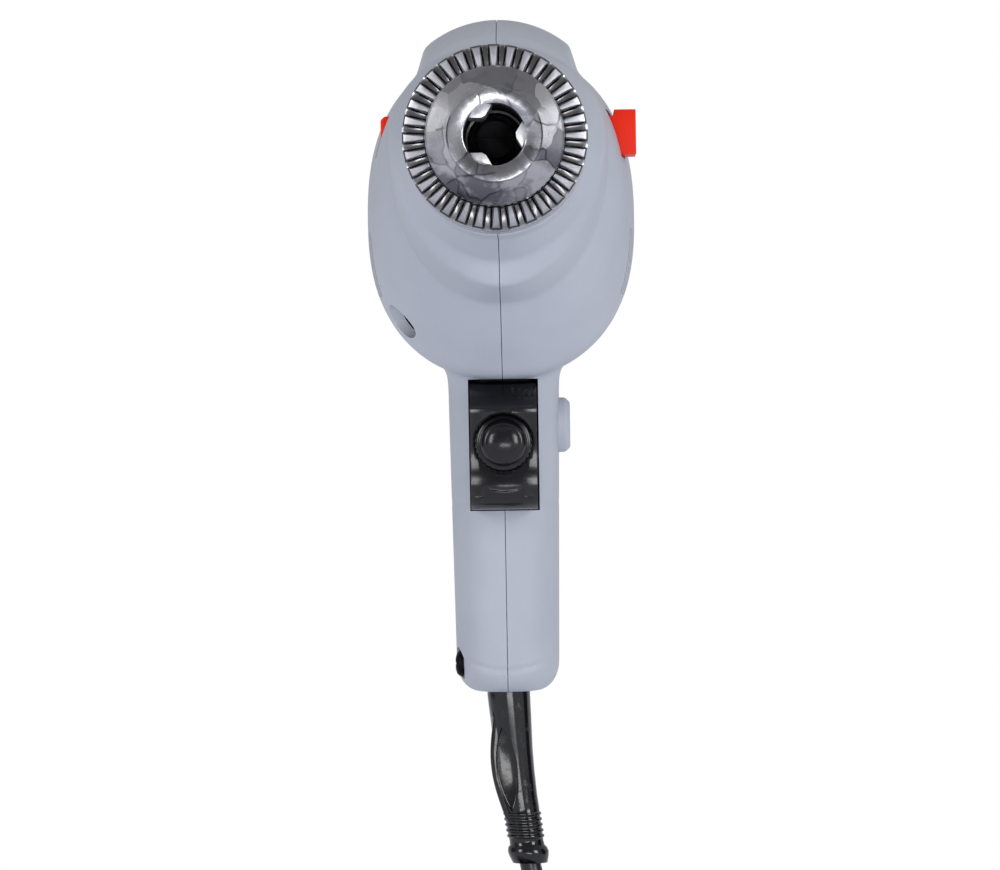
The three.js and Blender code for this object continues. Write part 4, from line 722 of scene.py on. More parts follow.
# %% Openings for the controls
TRIGGER_HALF = 9.1
trigger_slot = plate("trigger_slot", [
    (100, -55.0), (148, -55.0), (148, -89.3), (100, -89.3)], "X", -TRIGGER_HALF, TRIGGER_HALF)
selector_slot = block("selector_slot", -60, 60, 115.2, 121.8, 2.3, 12.9)
knob_pocket = block("knob_pocket", 20.5, 60, 111.9, 125.1, 1.3, 13.8)
cut(form, trigger_slot, bevelled(selector_slot, 0.8), bevelled(knob_pocket, 0.9))
BUTTON = (152.0, -67.0)
cut(form, rod("button_hole", "X", 7.6, 5, 60, *BUTTON))
screw_places = [(116, -40), (99, 25.5), (193.4, 12), (195.4, -39), (171.2, -58), (158, -130)]
for y, z in screw_places:
    cut(form, rod("counterbore", "X", 4.3, -60, -11.6, y, z))
cut(form, rod("foot_hole", "Z", 6.2, -142, -130, 0, GRIP_FOOT_Y))

# %% [markdown]
# A motor that drives hard needs air. The fan pulls it in through slots at the back and blows
# it out through short ones just behind the gears. The slots have round ends, because a
# sharp corner would start a crack in the plastic.

# %% Vents and split line
for i in range(5):
    for side in (-1, 1):
        cut(form, slot("vent", "X", min(side * 8, side * 60), max(side * 8, side * 60),
                       186.0 + 5.2 * i, -16.5, 1.25, 11.0 - i))
for i in range(3):
    for side in (-1, 1):
        cut(form, slot("fan_vent", "X", min(side * 26, side * 60), max(side * 26, side * 60),
                       123.0 + 4.6 * i, -25.0, 1.25, 8.5))

shell_right = copy_of(form, "shell_right")
form.name = form.data.name = "shell_left"
shell_left = form
HALF_SEAM = 0.09
cut(shell_left, block("keep_left", -90, HALF_SEAM, 0, 300, -200, 90))
cut(shell_right, block("keep_right", -HALF_SEAM, 90, 0, 300, -200, 90))
for half in (shell_left, shell_right):
    smooth(half, 38)
    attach(half, "housing")
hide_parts("housing_left")
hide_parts("housing_right")
print("shell halves:", len(shell_left.data.polygons), len(shell_right.data.polygons))

# %% [markdown]
# ## The chuck
#
# A keyed chuck is a turned steel body with a polished nose. Its sleeve turns round it and
# carries 32 bevel teeth on the front, which the chuck key meshes with. First the body:
# the nose ring, the cone, the barrel, the flange, and inside it the bore. Three leaning
# holes let the jaws through, and three small ones between them take the tip of the key.

# %% Chuck body
NOSE_RING_R = 11.1
BARREL_R = 16.3
BORE_R = 7.15
chuck_body = turned("chuck_nose", [
    (BORE_R, 24.0), (BORE_R, 0.5), (BORE_R + 0.15, 0.15), (BORE_R + 0.4, 0.0),
    (NOSE_RING_R - 0.25, 0.0), (NOSE_RING_R, 0.3), (NOSE_RING_R + 0.15, 0.9),
    (BARREL_R - 0.6, 3.5), (BARREL_R - 0.12, 3.85), (BARREL_R, 4.4), (BARREL_R, 12.9),
    (10.8, 12.9), (10.8, 19.7), (17.5, 19.7), (17.6, 36.8), (14.8, 39.8), (6.6, 39.8),
    (6.6, 24.0)], sides=128)
JAW_ANGLE = 15.0
JAW_OUT = 4.1
JAW_R = 3.3
HOLE_R = JAW_R + 0.12


def leaned(piece):
    """Leans a rod that lies along the spindle as a jaw leans, and moves it off the middle."""
    pick(piece)
    bpy.ops.object.mode_set(mode="EDIT")
    bpy.ops.mesh.select_all(action="SELECT")
    bpy.ops.transform.rotate(
        value=math.radians(JAW_ANGLE), orient_axis="Z", center_override=at(0, 0, 0))
    bpy.ops.transform.translate(value=(JAW_OUT * MM, 0, 0))
    bpy.ops.object.mode_set(mode="OBJECT")
    return piece


for i in range(3):
    turn = 120.0 * i
    jaw_hole = turned("jaw_hole", [(0, -0.4), (HOLE_R, -0.4), (HOLE_R, 39.0), (0, 39.0)], sides=40)
    cut(chuck_body, turned_to(leaned(jaw_hole), turn))
    key_hole = rod("key_hole", "X", 1.9, 11.5, 30, 6.5, 0)
    cut(chuck_body, turned_to(key_hole, turn + 60.0))
bevelled(chuck_body, 0.18, 2, 40)
smooth(chuck_body, 40)
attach(chuck_body, "spindle")
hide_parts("chuck_body")

# %% [markdown]
# The sleeve's teeth are what everyone looks at. Each gap is a small wedge that is wider at
# the front and outside. One wedge is made, copied 32 times round the spindle and taken out
# of the sleeve, just as a gear cutter would do it. A shallow groove runs round behind them.

# %% Sleeve with its bevel teeth
SLEEVE_R = 21.7
SLEEVE_Y = 8.6
TEETH = 32
sleeve = turned("toothed_sleeve", [
    (16.55, SLEEVE_Y - 0.3), (SLEEVE_R - 1.15, SLEEVE_Y + 0.5), (SLEEVE_R - 0.25, SLEEVE_Y + 0.9),
    (SLEEVE_R, SLEEVE_Y + 1.5), (SLEEVE_R, SLEEVE_Y + 8.2), (SLEEVE_R - 0.5, SLEEVE_Y + 8.6),
    (SLEEVE_R - 0.5, SLEEVE_Y + 10.2), (SLEEVE_R, SLEEVE_Y + 10.6), (SLEEVE_R, SLEEVE_Y + 23.3),
    (SLEEVE_R - 1.1, SLEEVE_Y + 24.4), (17.95, SLEEVE_Y + 24.4), (17.95, SLEEVE_Y + 4.4),
    (16.55, SLEEVE_Y + 4.4)], sides=192)


def tooth_gap():
    """A wedge between two teeth, on the +Z side: narrow at the bottom, wider outside."""
    inner, outer = 16.0, 23.0
    wedge = plate("tooth_gap", [(-1, 0), (1, 0), (1, 1), (-1, 1)], "Y", 0, 1)
    for corner in wedge.data.vertices:
        local = (corner.co - at(0, 0, 0)) / MM
        radius = outer if local.z > 0.5 else inner
        front = local.y < 0.5
        half = radius * math.pi / TEETH * (1.0 if front else 0.28)
        y = SLEEVE_Y - 1.2 if front else SLEEVE_Y + 1.7 + (0.75 if radius == outer else 0.0)
        corner.co = at(math.copysign(half, local.x), y, radius)
    return wedge


first_gap = tooth_gap()
gaps = [first_gap] + [copy_of(first_gap, "tooth_gap") for _ in range(TEETH - 1)]
for i, gap in enumerate(gaps):
    turned_to(gap, (i + 0.5) * 360 / TEETH)
cut(sleeve, joined("tooth_gaps", *gaps))
bevelled(sleeve, 0.14, 2, 32)
smooth(sleeve, 32)
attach(sleeve, "sleeve")
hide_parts("chuck_sleeve")
print("sleeve faces:", len(sleeve.data.polygons))

# %% [markdown]
# Three jaws slide in slanted holes and meet in front. Each one is a ground rod whose tip is
# cut to a wedge of 120 degrees with a narrow flat on its edge, so that three of them close
# on the thinnest drill bit. One jaw is made and turned into the two other places.

# %% Jaws
JAW_OPENING = 5.0
HALF_FLAT = 0.55
WEDGE_REACH = 30
first_jaw = turned("steel_jaw_1", [
    (0, 0), (JAW_R - 0.3, 0), (JAW_R, 0.4), (JAW_R, 30.5), (0, 30.5)], sides=64)
spread = HALF_FLAT + WEDGE_REACH * math.tan(math.radians(60))
wedge_outline = [
    (JAW_OPENING, -HALF_FLAT), (JAW_OPENING + WEDGE_REACH, -spread),
    (JAW_OPENING + WEDGE_REACH, spread), (JAW_OPENING, HALF_FLAT)]
cut(leaned(first_jaw), plate("jaw_wedge", wedge_outline, "Y", 3.0, 40.0), operation="INTERSECT")
bevelled(first_jaw, 0.2, 2, 30)
jaws = [first_jaw, copy_of(first_jaw, "steel_jaw_2"), copy_of(first_jaw, "steel_jaw_3")]
for i, jaw in enumerate(jaws):
    smooth(turned_to(jaw, -120.0 * i), 30)
    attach(jaw, f"jaw_{i + 1}")
    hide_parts(f"chuck_jaw_{i + 1}")
print("chuck done")

# %% [markdown]
# ## Trigger and speed dial
#
# The trigger is one glossy moulding. Seen from the side it has a brow on top, a hollow for
# the dial and a chin below, so its side view is drawn as an outline. It is extruded in
# steps across the grip, because the front is rounded too: every step is pushed back a
# little more the further it is from the middle.

# %% Trigger
TRIGGER_SIDE = 8.65
TRIGGER_CROWN = 1.9
CROWN_FADE = 6.0
DIAL = (0.0, -71.5)
trigger_side = [
    (132.0, -55.6), (128.4, -56.4), (124.6, -58.6), (121.2, -60.9), (119.9, -62.4),
    (119.6, -63.9), (120.4, -65.6), (122.6, -68.0), (123.8, -72.0), (123.9, -76.0),
    (122.9, -79.2), (122.2, -80.6), (122.0, -82.6), (122.5, -85.2), (124.0, -87.4),
    (126.8, -88.6), (131.0, -88.9), (136.8, -88.9), (136.8, -55.6),
]
trigger = plate("trigger_shell", trigger_side, "X", -TRIGGER_SIDE, TRIGGER_SIDE, 29)


def crowned(piece, back=135.0):
    """Pushes what lies in front of `back` rearwards, more towards the sides."""
    for corner in piece.data.vertices:
        x = corner.co.x / MM
        y = (corner.co.y - FACE_Y) / MM
        if y < back:
            share = min(1.0, (back - y) / CROWN_FADE)
            corner.co.y += TRIGGER_CROWN * (x / TRIGGER_SIDE) ** 2 * share * MM


crowned(trigger)
cut(trigger, turned("dial_well", [(0, 110), (8.0, 110), (8.0, 127.6), (0, 127.6)], 96, "Y", DIAL))


def smile(name, z, sag, half_width, thickness, low, high):
    """A thin bar across the trigger, bent down in the middle."""
    xs = [half_width * (2 * i / 24 - 1) for i in range(25)]
    lower = [(x, z - sag * (1 - (x / half_width) ** 2)) for x in xs]
    upper = [(x, height + thickness) for x, height in reversed(lower)]
    return plate(name, lower + upper, "Y", low, high)


groove = smile("groove", -82.7, 1.5, 5.9, 0.55, 112.0, 122.45)
crowned(groove, 123.5)
ticks = [block("tick", side * 6.6 - 1.3, side * 6.6 + 1.3, 112, 124.2, -85.7, -85.2) for side in (-1, 1)]
ribs = [block("rib_gap", x - 0.35, x + 0.35, 112, 127, -59.6, -50) for x in (2.6, 4.3, 6.0, 7.5)]
cut(trigger, groove, *ticks, *ribs)
cut(trigger, turned("spring_well", [(0, 130), (5.6, 130), (5.6, 140), (0, 140)], 48, "Y", DIAL))
stem = turned("stem", [(0, 129.0), (2.4, 129.0), (2.4, 146.6), (0, 146.6)], 32, "Y", DIAL)
cut(trigger, stem, operation="UNION")
bevelled(trigger, 0.35, 3, 38)
smooth(trigger, 40)
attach(trigger, "trigger")
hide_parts("trigger")

# %% [markdown]
# The dial is a shallow dome in a ring. A finger turns it to limit how far the trigger can
# be pulled, so the ring has little notches for grip, all copied from one.

# %% Speed dial
dial = turned("dial_knob", [
    (0, 118.6), (1.2, 118.66), (2.4, 118.88), (3.4, 119.22), (4.3, 119.7), (4.5, 119.95),
    (4.72, 119.98), (5.2, 120.4), (5.7, 121.0), (6.0, 121.6), (6.1, 122.1), (6.5, 122.2),
    (7.0, 122.35), (7.3, 122.8), (7.3, 126.7), (0, 126.7)], 96, "Y", DIAL)
NOTCHES = 30
NOTCH_Y, NOTCH_REACH = 124.2, 2.6
first_notch = rod("notch", "X", 0.32, 7.05, 8.2, 0, 0, 10)
for corner in first_notch.data.vertices:
    local = (corner.co - at(0, 0, 0)) / MM
    y = NOTCH_Y + math.copysign(NOTCH_REACH, local.y) + local.y
    corner.co = at(local.x, y, local.z)
notches = [first_notch] + [copy_of(first_notch, "notch") for _ in range(NOTCHES - 1)]
for i, notch in enumerate(notches):
    turned_to(notch, i * 360 / NOTCHES)
    for corner in notch.data.vertices:
        corner.co.z += DIAL[1] * MM
cut(dial, joined("notches", *notches))
bevelled(dial, 0.1, 2, 40)
smooth(dial, 40)
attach(dial, "dial")
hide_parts("speed_dial")

# %% [markdown]
# ## Lock button and hammer selector
#
# The lock button is a turned plastic cap with a broad chamfer and a slightly dished face.
# The selector is a bar that slides from side to side through the body. Its operating end
# is a block with a step, and its other end peeps out of the shell.

# %% Lock button
down = (BUTTON[1] - GRIP_TOP[0]) / (GRIP_FOOT[0] - GRIP_TOP[0])
grip_half = GRIP_TOP[3] + down * (GRIP_FOOT[3] - GRIP_TOP[3])
out_x = grip_half + 2.9
flange_x = grip_half - 2.6 - 0.3 - 1.6
button = turned("lock_cap", [
    (0, out_x - 0.35), (3.2, out_x - 0.28), (5.1, out_x - 0.05), (5.7, out_x),
    (6.05, out_x - 0.12), (6.95, out_x - 1.05), (7.2, out_x - 1.6), (7.25, flange_x + 1.4),
    (8.4, flange_x + 1.4), (8.4, flange_x), (1.6, flange_x), (1.6, flange_x - 5),
    (0, flange_x - 5)], 96, "X", BUTTON)
bevelled(button, 0.12, 2, 40)
smooth(button, 40)
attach(button, "lock")
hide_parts("lock_button")

# %% Selector
selector_low, selector_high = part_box("mode_selector")
SEL_MID = ((selector_low.y + selector_high.y) / 2 - FACE_Y) / MM
bar_outline = [
    (-30.3, 6.6), (-27.3, 2.6), (-14, 2.6), (-14, -3.8), (9.5, -3.8), (9.5, 2.6),
    (28.5, 2.6), (28.5, 12.6), (-29.3, 12.6), (-30.3, 11.6)]
bar = plate("selector_bar", bar_outline, "Y", SEL_MID - 3, SEL_MID + 3)
cut(bar, block("detent", -3.4, 3.4, SEL_MID - 4, SEL_MID - 1.5, -10, 3.4))
bevelled(bar, 0.35, 2, 30)
knob = block("red_selector", 27.5, 35.1, SEL_MID - 6, SEL_MID + 6, 1.8, 13.3)
cut(knob, block("knob_step", 26.0, 29.5, SEL_MID - 8, SEL_MID + 8, 11.7, 15.0))
for i in range(4):
    z = 3.9 + 2.3 * i
    cut(knob, block("knob_groove", 34.6, 36, SEL_MID - 4.6, SEL_MID + 4.6, z, z + 0.9))
bevelled(knob, 0.55, 3, 30)
cut(knob, bar, operation="UNION")
smooth(knob, 35)
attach(knob, "selector")
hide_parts("mode_selector")

# %% [markdown]
# ## Rubber boot
#
# The boot keeps the cord from kinking where it leaves the grip. It is a tapered rubber
# sleeve that leans with the pull of the cord, with a strap along one side that bulges out
# and leaves an almond-shaped gap, a few fine ribs and a flange at its lower end.

# %% Boot
BOOT_TOP = -134.8
BOOT_TIP = -184.3
BOOT_LEAN = 4.9
BOOT_BORE_R = 2.75
boot_profile = [
    (BOOT_BORE_R, BOOT_TIP), (4.7, BOOT_TIP), (5.35, -182.3), (5.5, -181.3), (5.2, -180.2),
    (4.65, -179.6), (4.55, -178.4)]
for i in range(5):
    z = -177.6 + 1.5 * i
    valley, rib = 4.62 + 0.03 * i, 5.0 + 0.03 * i
    boot_profile += [(valley, z), (rib, z + 0.25), (rib, z + 0.7), (valley, z + 0.95)]
boot_profile += [
    (4.8, -169.4), (4.75, -166), (4.85, -160), (5.05, -154), (5.4, -148), (5.65, -142),
    (5.75, -139), (5.7, BOOT_TOP), (7.9, BOOT_TOP), (7.9, -132.4), (BOOT_BORE_R, -132.4),
    (BOOT_BORE_R, -150), (BOOT_BORE_R, -165)]
boot = turned("cord_sleeve", boot_profile, 64, "Z", (0.0, GRIP_FOOT_Y))
shares = [i / 32 for i in range(33)]
strap_outline = [(-4.5 - 2.1 * math.sin(math.pi * t) ** 1.1, -144.5 - 28.5 * t) for t in shares]
strap_outline += [(-2.0, -173.0), (-2.0, -144.5)]
strap = plate("strap", strap_outline, "Y", GRIP_FOOT_Y - 3.6, GRIP_FOOT_Y + 3.6)
bevelled(strap, 1.3, 4, 25)
cut(boot, strap, operation="UNION")
almond = [(-2.6 - 2.6 * math.sin(math.pi * t) ** 0.9, -147.5 - 23.0 * t) for t in shares]
almond += [(-2.6 + 3.0 * math.sin(math.pi * (1 - i / 16)) ** 0.8, -170.5 + 23.0 * i / 16)
           for i in range(1, 16)]
hollows = [plate("almond", almond, "Y", GRIP_FOOT_Y - 12, GRIP_FOOT_Y - 2.9),
           plate("almond", almond, "Y", GRIP_FOOT_Y + 2.9, GRIP_FOOT_Y + 12)]
cut(boot, *[bevelled(hollow, 0.4, 2, 40) for hollow in hollows])
bevelled(boot, 0.3, 2, 40)
LEAN_TOP = -139.0
LEAN_LENGTH = 44.0
for corner in boot.data.vertices:
    z = (corner.co.z - AXIS_Z) / MM
    share = max(0.0, (LEAN_TOP - z) / LEAN_LENGTH)
    corner.co.x += BOOT_LEAN * MM * (0.55 * share + 0.45 * share * share)
smooth(boot, 40)
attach(boot, "housing")
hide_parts("cord_boot")
print("controls and boot done")

# %% [markdown]
# ## Screws
#
# Six screws hold the shell halves together. Their heads sit deep in the counterbores on
# the left, and each has a cross recess made by two small blocks.

# %% Screws
head_profile = [
    (0, -13.9), (1.5, -13.85), (2.7, -13.5), (3.35, -12.8), (3.5, -12.2), (3.5, -11.7), (0, -11.7)]
screws = []
for i, (y, z) in enumerate(screw_places):
    head = turned(f"cross_screw_{i + 1}", head_profile, 40, "X", (y, z))
    for half_y, half_z in ((1.9, 0.35), (0.35, 1.9)):
        cut(head, block("cross", -15, -12.6, y - half_y, y + half_y, z - half_z, z + half_z))
    bevelled(head, 0.08, 2, 40)
    smooth(head, 40)
    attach(head, "housing")
    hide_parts(f"housing_screw_{i + 1}")
    screws.append(head)

# %% [markdown]
# ## On the cord: a tie and the plug
#
# The tie is a strap of soft plastic drawn tight round the bundle. Its section follows the
# outermost turns, which all lie at the corners of one six-sided ring, so the strap's outline
# is that ring grown outwards, with an arc at each corner.

# %% Coil tie
def grown(corners, by):
    """The outline of a ring of corners, grown outwards by a distance, with round corners."""
    outline = []
    for k, (a, b) in enumerate(corners):
        (a0, b0), (a1, b1) = corners[k - 1], corners[(k + 1) % len(corners)]
        start = math.atan2(b - b0, a - a0) - math.pi / 2
        end = math.atan2(b1 - b, a1 - a) - math.pi / 2
        while end < start:
            end += 2 * math.pi
        for i in range(6):
            angle = start + (end - start) * i / 5
            outline.append((a + by * math.cos(angle), b + by * math.sin(angle)))
    return outline


TIE_X = COIL.x - COIL_R
TIE_WALL = 0.95
HALF_TIE = 4.4
ring_of_turns = [(1, -2), (1, 2), (0, 3), (-1, 2), (-1, -2), (0, -3)]
around = [(TIE_X + out * LAYER, COIL.y + along * CORD_R) for out, along in ring_of_turns]
tie_outline = grown(around, CORD_R + CORD_GAP + TIE_WALL)
tie = plate("coil_strap", tie_outline, "Z", COIL.z - HALF_TIE, COIL.z + HALF_TIE)
buckle = block("buckle", TIE_X - 9.4, TIE_X - 7.6, COIL.y - 3.6, COIL.y + 3.6,
               COIL.z - HALF_TIE, COIL.z + HALF_TIE)
cut(tie, buckle, operation="UNION")
cut(tie, plate("tie_inside", grown(around, CORD_R + CORD_GAP), "Z", COIL.z - 6, COIL.z + 6))
for i in range(5):
    z = COIL.z - 3.0 + 1.5 * i
    cut(tie, block("tie_rib", TIE_X - 12, TIE_X - 9.1, COIL.y - 2.6, COIL.y + 2.6, z - 0.3, z + 0.3))
bevelled(tie, 0.18, 2, 35)
smooth(tie, 40)
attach(tie, "housing")
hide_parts("coil_tie")

# %% Plug
PLUG_X, PLUG_Y = 31.9, 151.1
# height, half width, half depth and squareness
plug_outlines = [
    (-276.8, 4.0, 4.0, 2.0), (-277.6, 4.6, 4.6, 2.0), (-281.0, 5.0, 5.0, 2.0),
    (-285.0, 6.2, 6.0, 2.0), (-289.0, 9.4, 7.9, 2.1), (-293.0, 13.4, 9.9, 2.3),
    (-297.0, 16.2, 11.3, 2.5), (-302.0, 17.6, 12.2, 2.7), (-308.0, 18.0, 12.5, 2.9),
    (-313.4, 18.0, 12.5, 3.0), (-314.4, 17.6, 12.1, 3.0), (-314.8, 16.8, 11.3, 3.0)]


def plug_outline(z):
    _, across, deep, square = next(row for row in plug_outlines if row[0] == z)
    return across, 0.0, deep, -deep, square, square


plug = lofted("plug_grip", [row[0] for row in plug_outlines], plug_outline, upright=True)
for corner in plug.data.vertices:
    corner.co += Vector((PLUG_X, PLUG_Y, 0.0)) * MM
for i in range(4):
    z = -296.5 - 3.2 * i
    for side in (-1, 1):
        x = PLUG_X + side * (18.1 + 0.1 * i)
        cut(plug, block("finger_rib", min(x, x - side * 1.6), max(x, x - side * 1.6),
                        PLUG_Y - 7, PLUG_Y + 7, z - 0.6, z + 0.6))
bevelled(plug, 0.3, 2, 40)
smooth(plug, 40)
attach(plug, "housing")
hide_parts("plug_body")

PIN_SPACING = 19.0
pin_profile = [
    (0, -333.8), (0.9, -333.75), (1.7, -333.3), (2.2, -332.4), (2.4, -331.2), (2.4, -324.6),
    (2.25, -324.4), (2.25, -324.0), (2.4, -323.8), (2.4, -315.1), (0, -315.1)]
pins = []
for i, side in enumerate((-1, 1)):
    pin_place = (PLUG_X + side * PIN_SPACING / 2, PLUG_Y)
    pin = turned(f"mains_pin_{i + 1}", pin_profile, 40, "Z", pin_place)
    smooth(pin, 35)
    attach(pin, "housing")
    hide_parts(f"plug_pin_{i + 1}")
    pins.append(pin)

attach(mains_cord, "housing")
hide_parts("cord", "cord_coil", "cord_tail")
print("cord, tie and plug done")

# %% [markdown]
# ## Materials
#
# Every material is a little tree of nodes. They all share one start: the place on the
# piece, as Object coordinates moved to the middle of the drill, so that the grain has the
# same size on every piece and keeps its place when a piece is turned.

# %% Node helpers
class Recipe:
    """A material that is built up one node at a time."""

    def __init__(self, name, roughness=0.5, metallic=0.0, specular=0.5):
        self.material = bpy.data.materials.new(name)
        self.material.use_nodes = True
        self.tree = self.material.node_tree
        self.surface = self.tree.nodes["Principled BSDF"]
        self.surface.inputs["Roughness"].default_value = roughness
        self.surface.inputs["Metallic"].default_value = metallic
        self.surface.inputs["Specular IOR Level"].default_value = specular
        coords = self.tree.nodes.new("ShaderNodeTexCoord")
        shift = self.tree.nodes.new("ShaderNodeMapping")
        shift.inputs["Location"].default_value = (0.0, -FACE_Y, -AXIS_Z)
        self.tree.links.new(coords.outputs["Object"], shift.inputs["Vector"])
        self.place = shift.outputs["Vector"]

    def node(self, kind, **inputs):
        made = self.tree.nodes.new(kind)
        for key, value in inputs.items():
            self.put(value, made.inputs[key.replace("_", " ")])
        return made

    def put(self, value, socket):
        if isinstance(value, bpy.types.NodeSocket):
            self.tree.links.new(value, socket)
        else:
            socket.default_value = value

    def stretched(self, scale):
        made = self.node("ShaderNodeMapping", Vector=self.place)
        made.inputs["Scale"].default_value = scale
        return made.outputs["Vector"]

    def noise(self, scale, detail, vector=None):
        made = self.node("ShaderNodeTexNoise", Vector=vector or self.place, Scale=scale,
                         Detail=detail, Roughness=0.55)
        return made.outputs["Fac"]

    def cells(self, scale):
        made = self.node("ShaderNodeTexVoronoi", Vector=self.place, Scale=scale)
        return made.outputs["Distance"]

    def spread(self, value, low, high, new_low=0.0, new_high=1.0):
        made = self.node("ShaderNodeMapRange")
        for key, number in zip(("Value", "From Min", "From Max", "To Min", "To Max"),
                               (value, low, high, new_low, new_high)):
            self.put(number, made.inputs[key])
        return made.outputs["Result"]

    def mixed(self, share, first, second):
        made = self.tree.nodes.new("ShaderNodeMix")
        made.data_type = "RGBA"
        for key, value in (("Factor_Float", share), ("A_Color", first), ("B_Color", second)):
            socket = next(one for one in made.inputs if one.identifier == key)
            self.put(value, socket)
        return next(one for one in made.outputs if one.identifier == "Result_Color")

    def worn_edges(self, amount=12.0):
        """White where the surface is convex, such as at an edge."""
        geometry = self.tree.nodes.new("ShaderNodeNewGeometry")
        return self.spread(geometry.outputs["Pointiness"], 0.5, 0.5 + 1.0 / amount)

    def bump(self, height, strength, distance):
        made = self.node("ShaderNodeBump", Height=height, Strength=strength, Distance=distance)
        if self.surface.inputs["Normal"].is_linked:
            self.put(self.surface.inputs["Normal"].links[0].from_socket, made.inputs["Normal"])
        self.put(made.outputs["Normal"], self.surface.inputs["Normal"])

    def finish(self, colour, roughness=None):
        self.put(colour, self.surface.inputs["Base Color"])
        if roughness is not None:
            self.put(roughness, self.surface.inputs["Roughness"])
        return self.material


def rgb(red, green, blue):
    """A colour given as on a screen, from 0 to 255, turned into linear light."""
    def linear(value):
        value /= 255.0
        return value / 12.92 if value <= 0.04045 else ((value + 0.055) / 1.055) ** 2.4
    return (linear(red), linear(green), linear(blue), 1.0)


# %% [markdown]
# The shell is nylon with a fine spark-eroded texture, so its bump is very small noise on
# top of a slight wave from the mould. The glossy black plastics are smoother and show
# faint sink marks. The rubber of the boot shines, and it is a bit dusty in places.

# %% Plastics and rubber
def moulded(name, colour, shade, roughness, grain, sheen=0.5):
    """Moulded plastic: soft colour drift, fine grain, slightly polished edges."""
    recipe = Recipe(name, specular=sheen)
    drift = recipe.noise(38.0, 4.0)
    fine = recipe.noise(2600.0, 2.0)
    cells = recipe.cells(1500.0)
    base = recipe.mixed(recipe.spread(drift, 0.35, 0.65), colour, shade)
    edge = recipe.worn_edges(9.0)
    lighter = tuple(min(1.0, 0.02 + 1.15 * value) for value in colour[:3]) + (1.0,)
    base = recipe.mixed(recipe.spread(edge, 0.0, 1.0, 0.0, 0.35), base, lighter)
    recipe.bump(recipe.noise(120.0, 2.0), 0.12, 0.0004)
    recipe.bump(fine, grain, 0.00012)
    recipe.bump(cells, grain * 0.5, 0.0001)
    return recipe.finish(base, recipe.spread(fine, 0.3, 0.7, roughness - 0.05, roughness + 0.07))


shell_nylon = moulded("shell_nylon", rgb(167, 172, 183), rgb(161, 166, 178), 0.5, 0.35, 0.42)
gloss_black = moulded("gloss_black", rgb(15, 13, 20), rgb(10, 9, 14), 0.2, 0.03, 0.4)
red_satin = moulded("red_satin", rgb(232, 38, 0), rgb(216, 28, 0), 0.45, 0.1, 0.15)


def rubber_material(name, colour, shade, roughness):
    recipe = Recipe(name, specular=0.5)
    drift = recipe.noise(60.0, 4.0)
    dust = recipe.spread(recipe.noise(420.0, 3.0), 0.55, 0.75)
    base = recipe.mixed(recipe.spread(drift, 0.3, 0.7), colour, shade)
    base = recipe.mixed(recipe.spread(dust, 0.0, 1.0, 0.0, 0.03), base, rgb(150, 146, 150))
    recipe.bump(recipe.noise(150.0, 3.0), 0.15, 0.0003)
    recipe.bump(recipe.noise(1800.0, 2.0), 0.06, 0.0001)
    return recipe.finish(base, recipe.spread(dust, 0.0, 1.0, roughness, roughness + 0.25))


boot_rubber = rubber_material("boot_rubber", rgb(12, 11, 15), rgb(8, 8, 11), 0.14)
cord_rubber = rubber_material("cord_rubber", rgb(26, 25, 31), rgb(20, 19, 24), 0.3)
bearing_rubber = rubber_material("bearing_rubber", rgb(30, 30, 33), rgb(25, 25, 28), 0.6)

# %% [markdown]
# Metals differ in how they were made. The chuck is turned and polished: fine rings round
# the spindle, with dark smudges of oil that never quite come off. Painted shade darkens
# its lower side, the gaps between its teeth, the chamfer of its sleeve and its bore. Ground
# bearing steel is plain and bright, gears are blackened, copper is enamelled, and the field
# cores show the edges of the steel sheets that they are stacked from. The screws, and the
# screw and spindle deep in the chuck, are painted near black as the shade of their holes.

# %% Metals
BARE_STEEL = rgb(236, 236, 240)


def metal(name, colour, shade, roughness, rings=0.0, smudge=0.25, smudge_scale=140.0, worn=0.12):
    """Metal with machining rings round the spindle and smudges in colour and shine."""
    recipe = Recipe(name, roughness=roughness, metallic=1.0)
    patch = recipe.spread(recipe.noise(smudge_scale, 5.0), 0.42, 0.68)
    along = recipe.noise(900.0, 3.0, recipe.stretched((0.15, 1.0, 0.15)))
    base = recipe.mixed(recipe.spread(patch, 0.0, 1.0, 0.0, smudge), colour, shade)
    edge = recipe.spread(recipe.worn_edges(8.0), 0.0, 1.0, 0.0, worn)
    base = recipe.mixed(edge, base, BARE_STEEL)
    if rings:
        recipe.bump(along, rings, 0.00008)
    recipe.bump(recipe.noise(220.0, 3.0), 0.1, 0.0002)
    return recipe.finish(base, recipe.spread(patch, 0.0, 1.0, roughness, min(1.0, roughness + 0.22)))


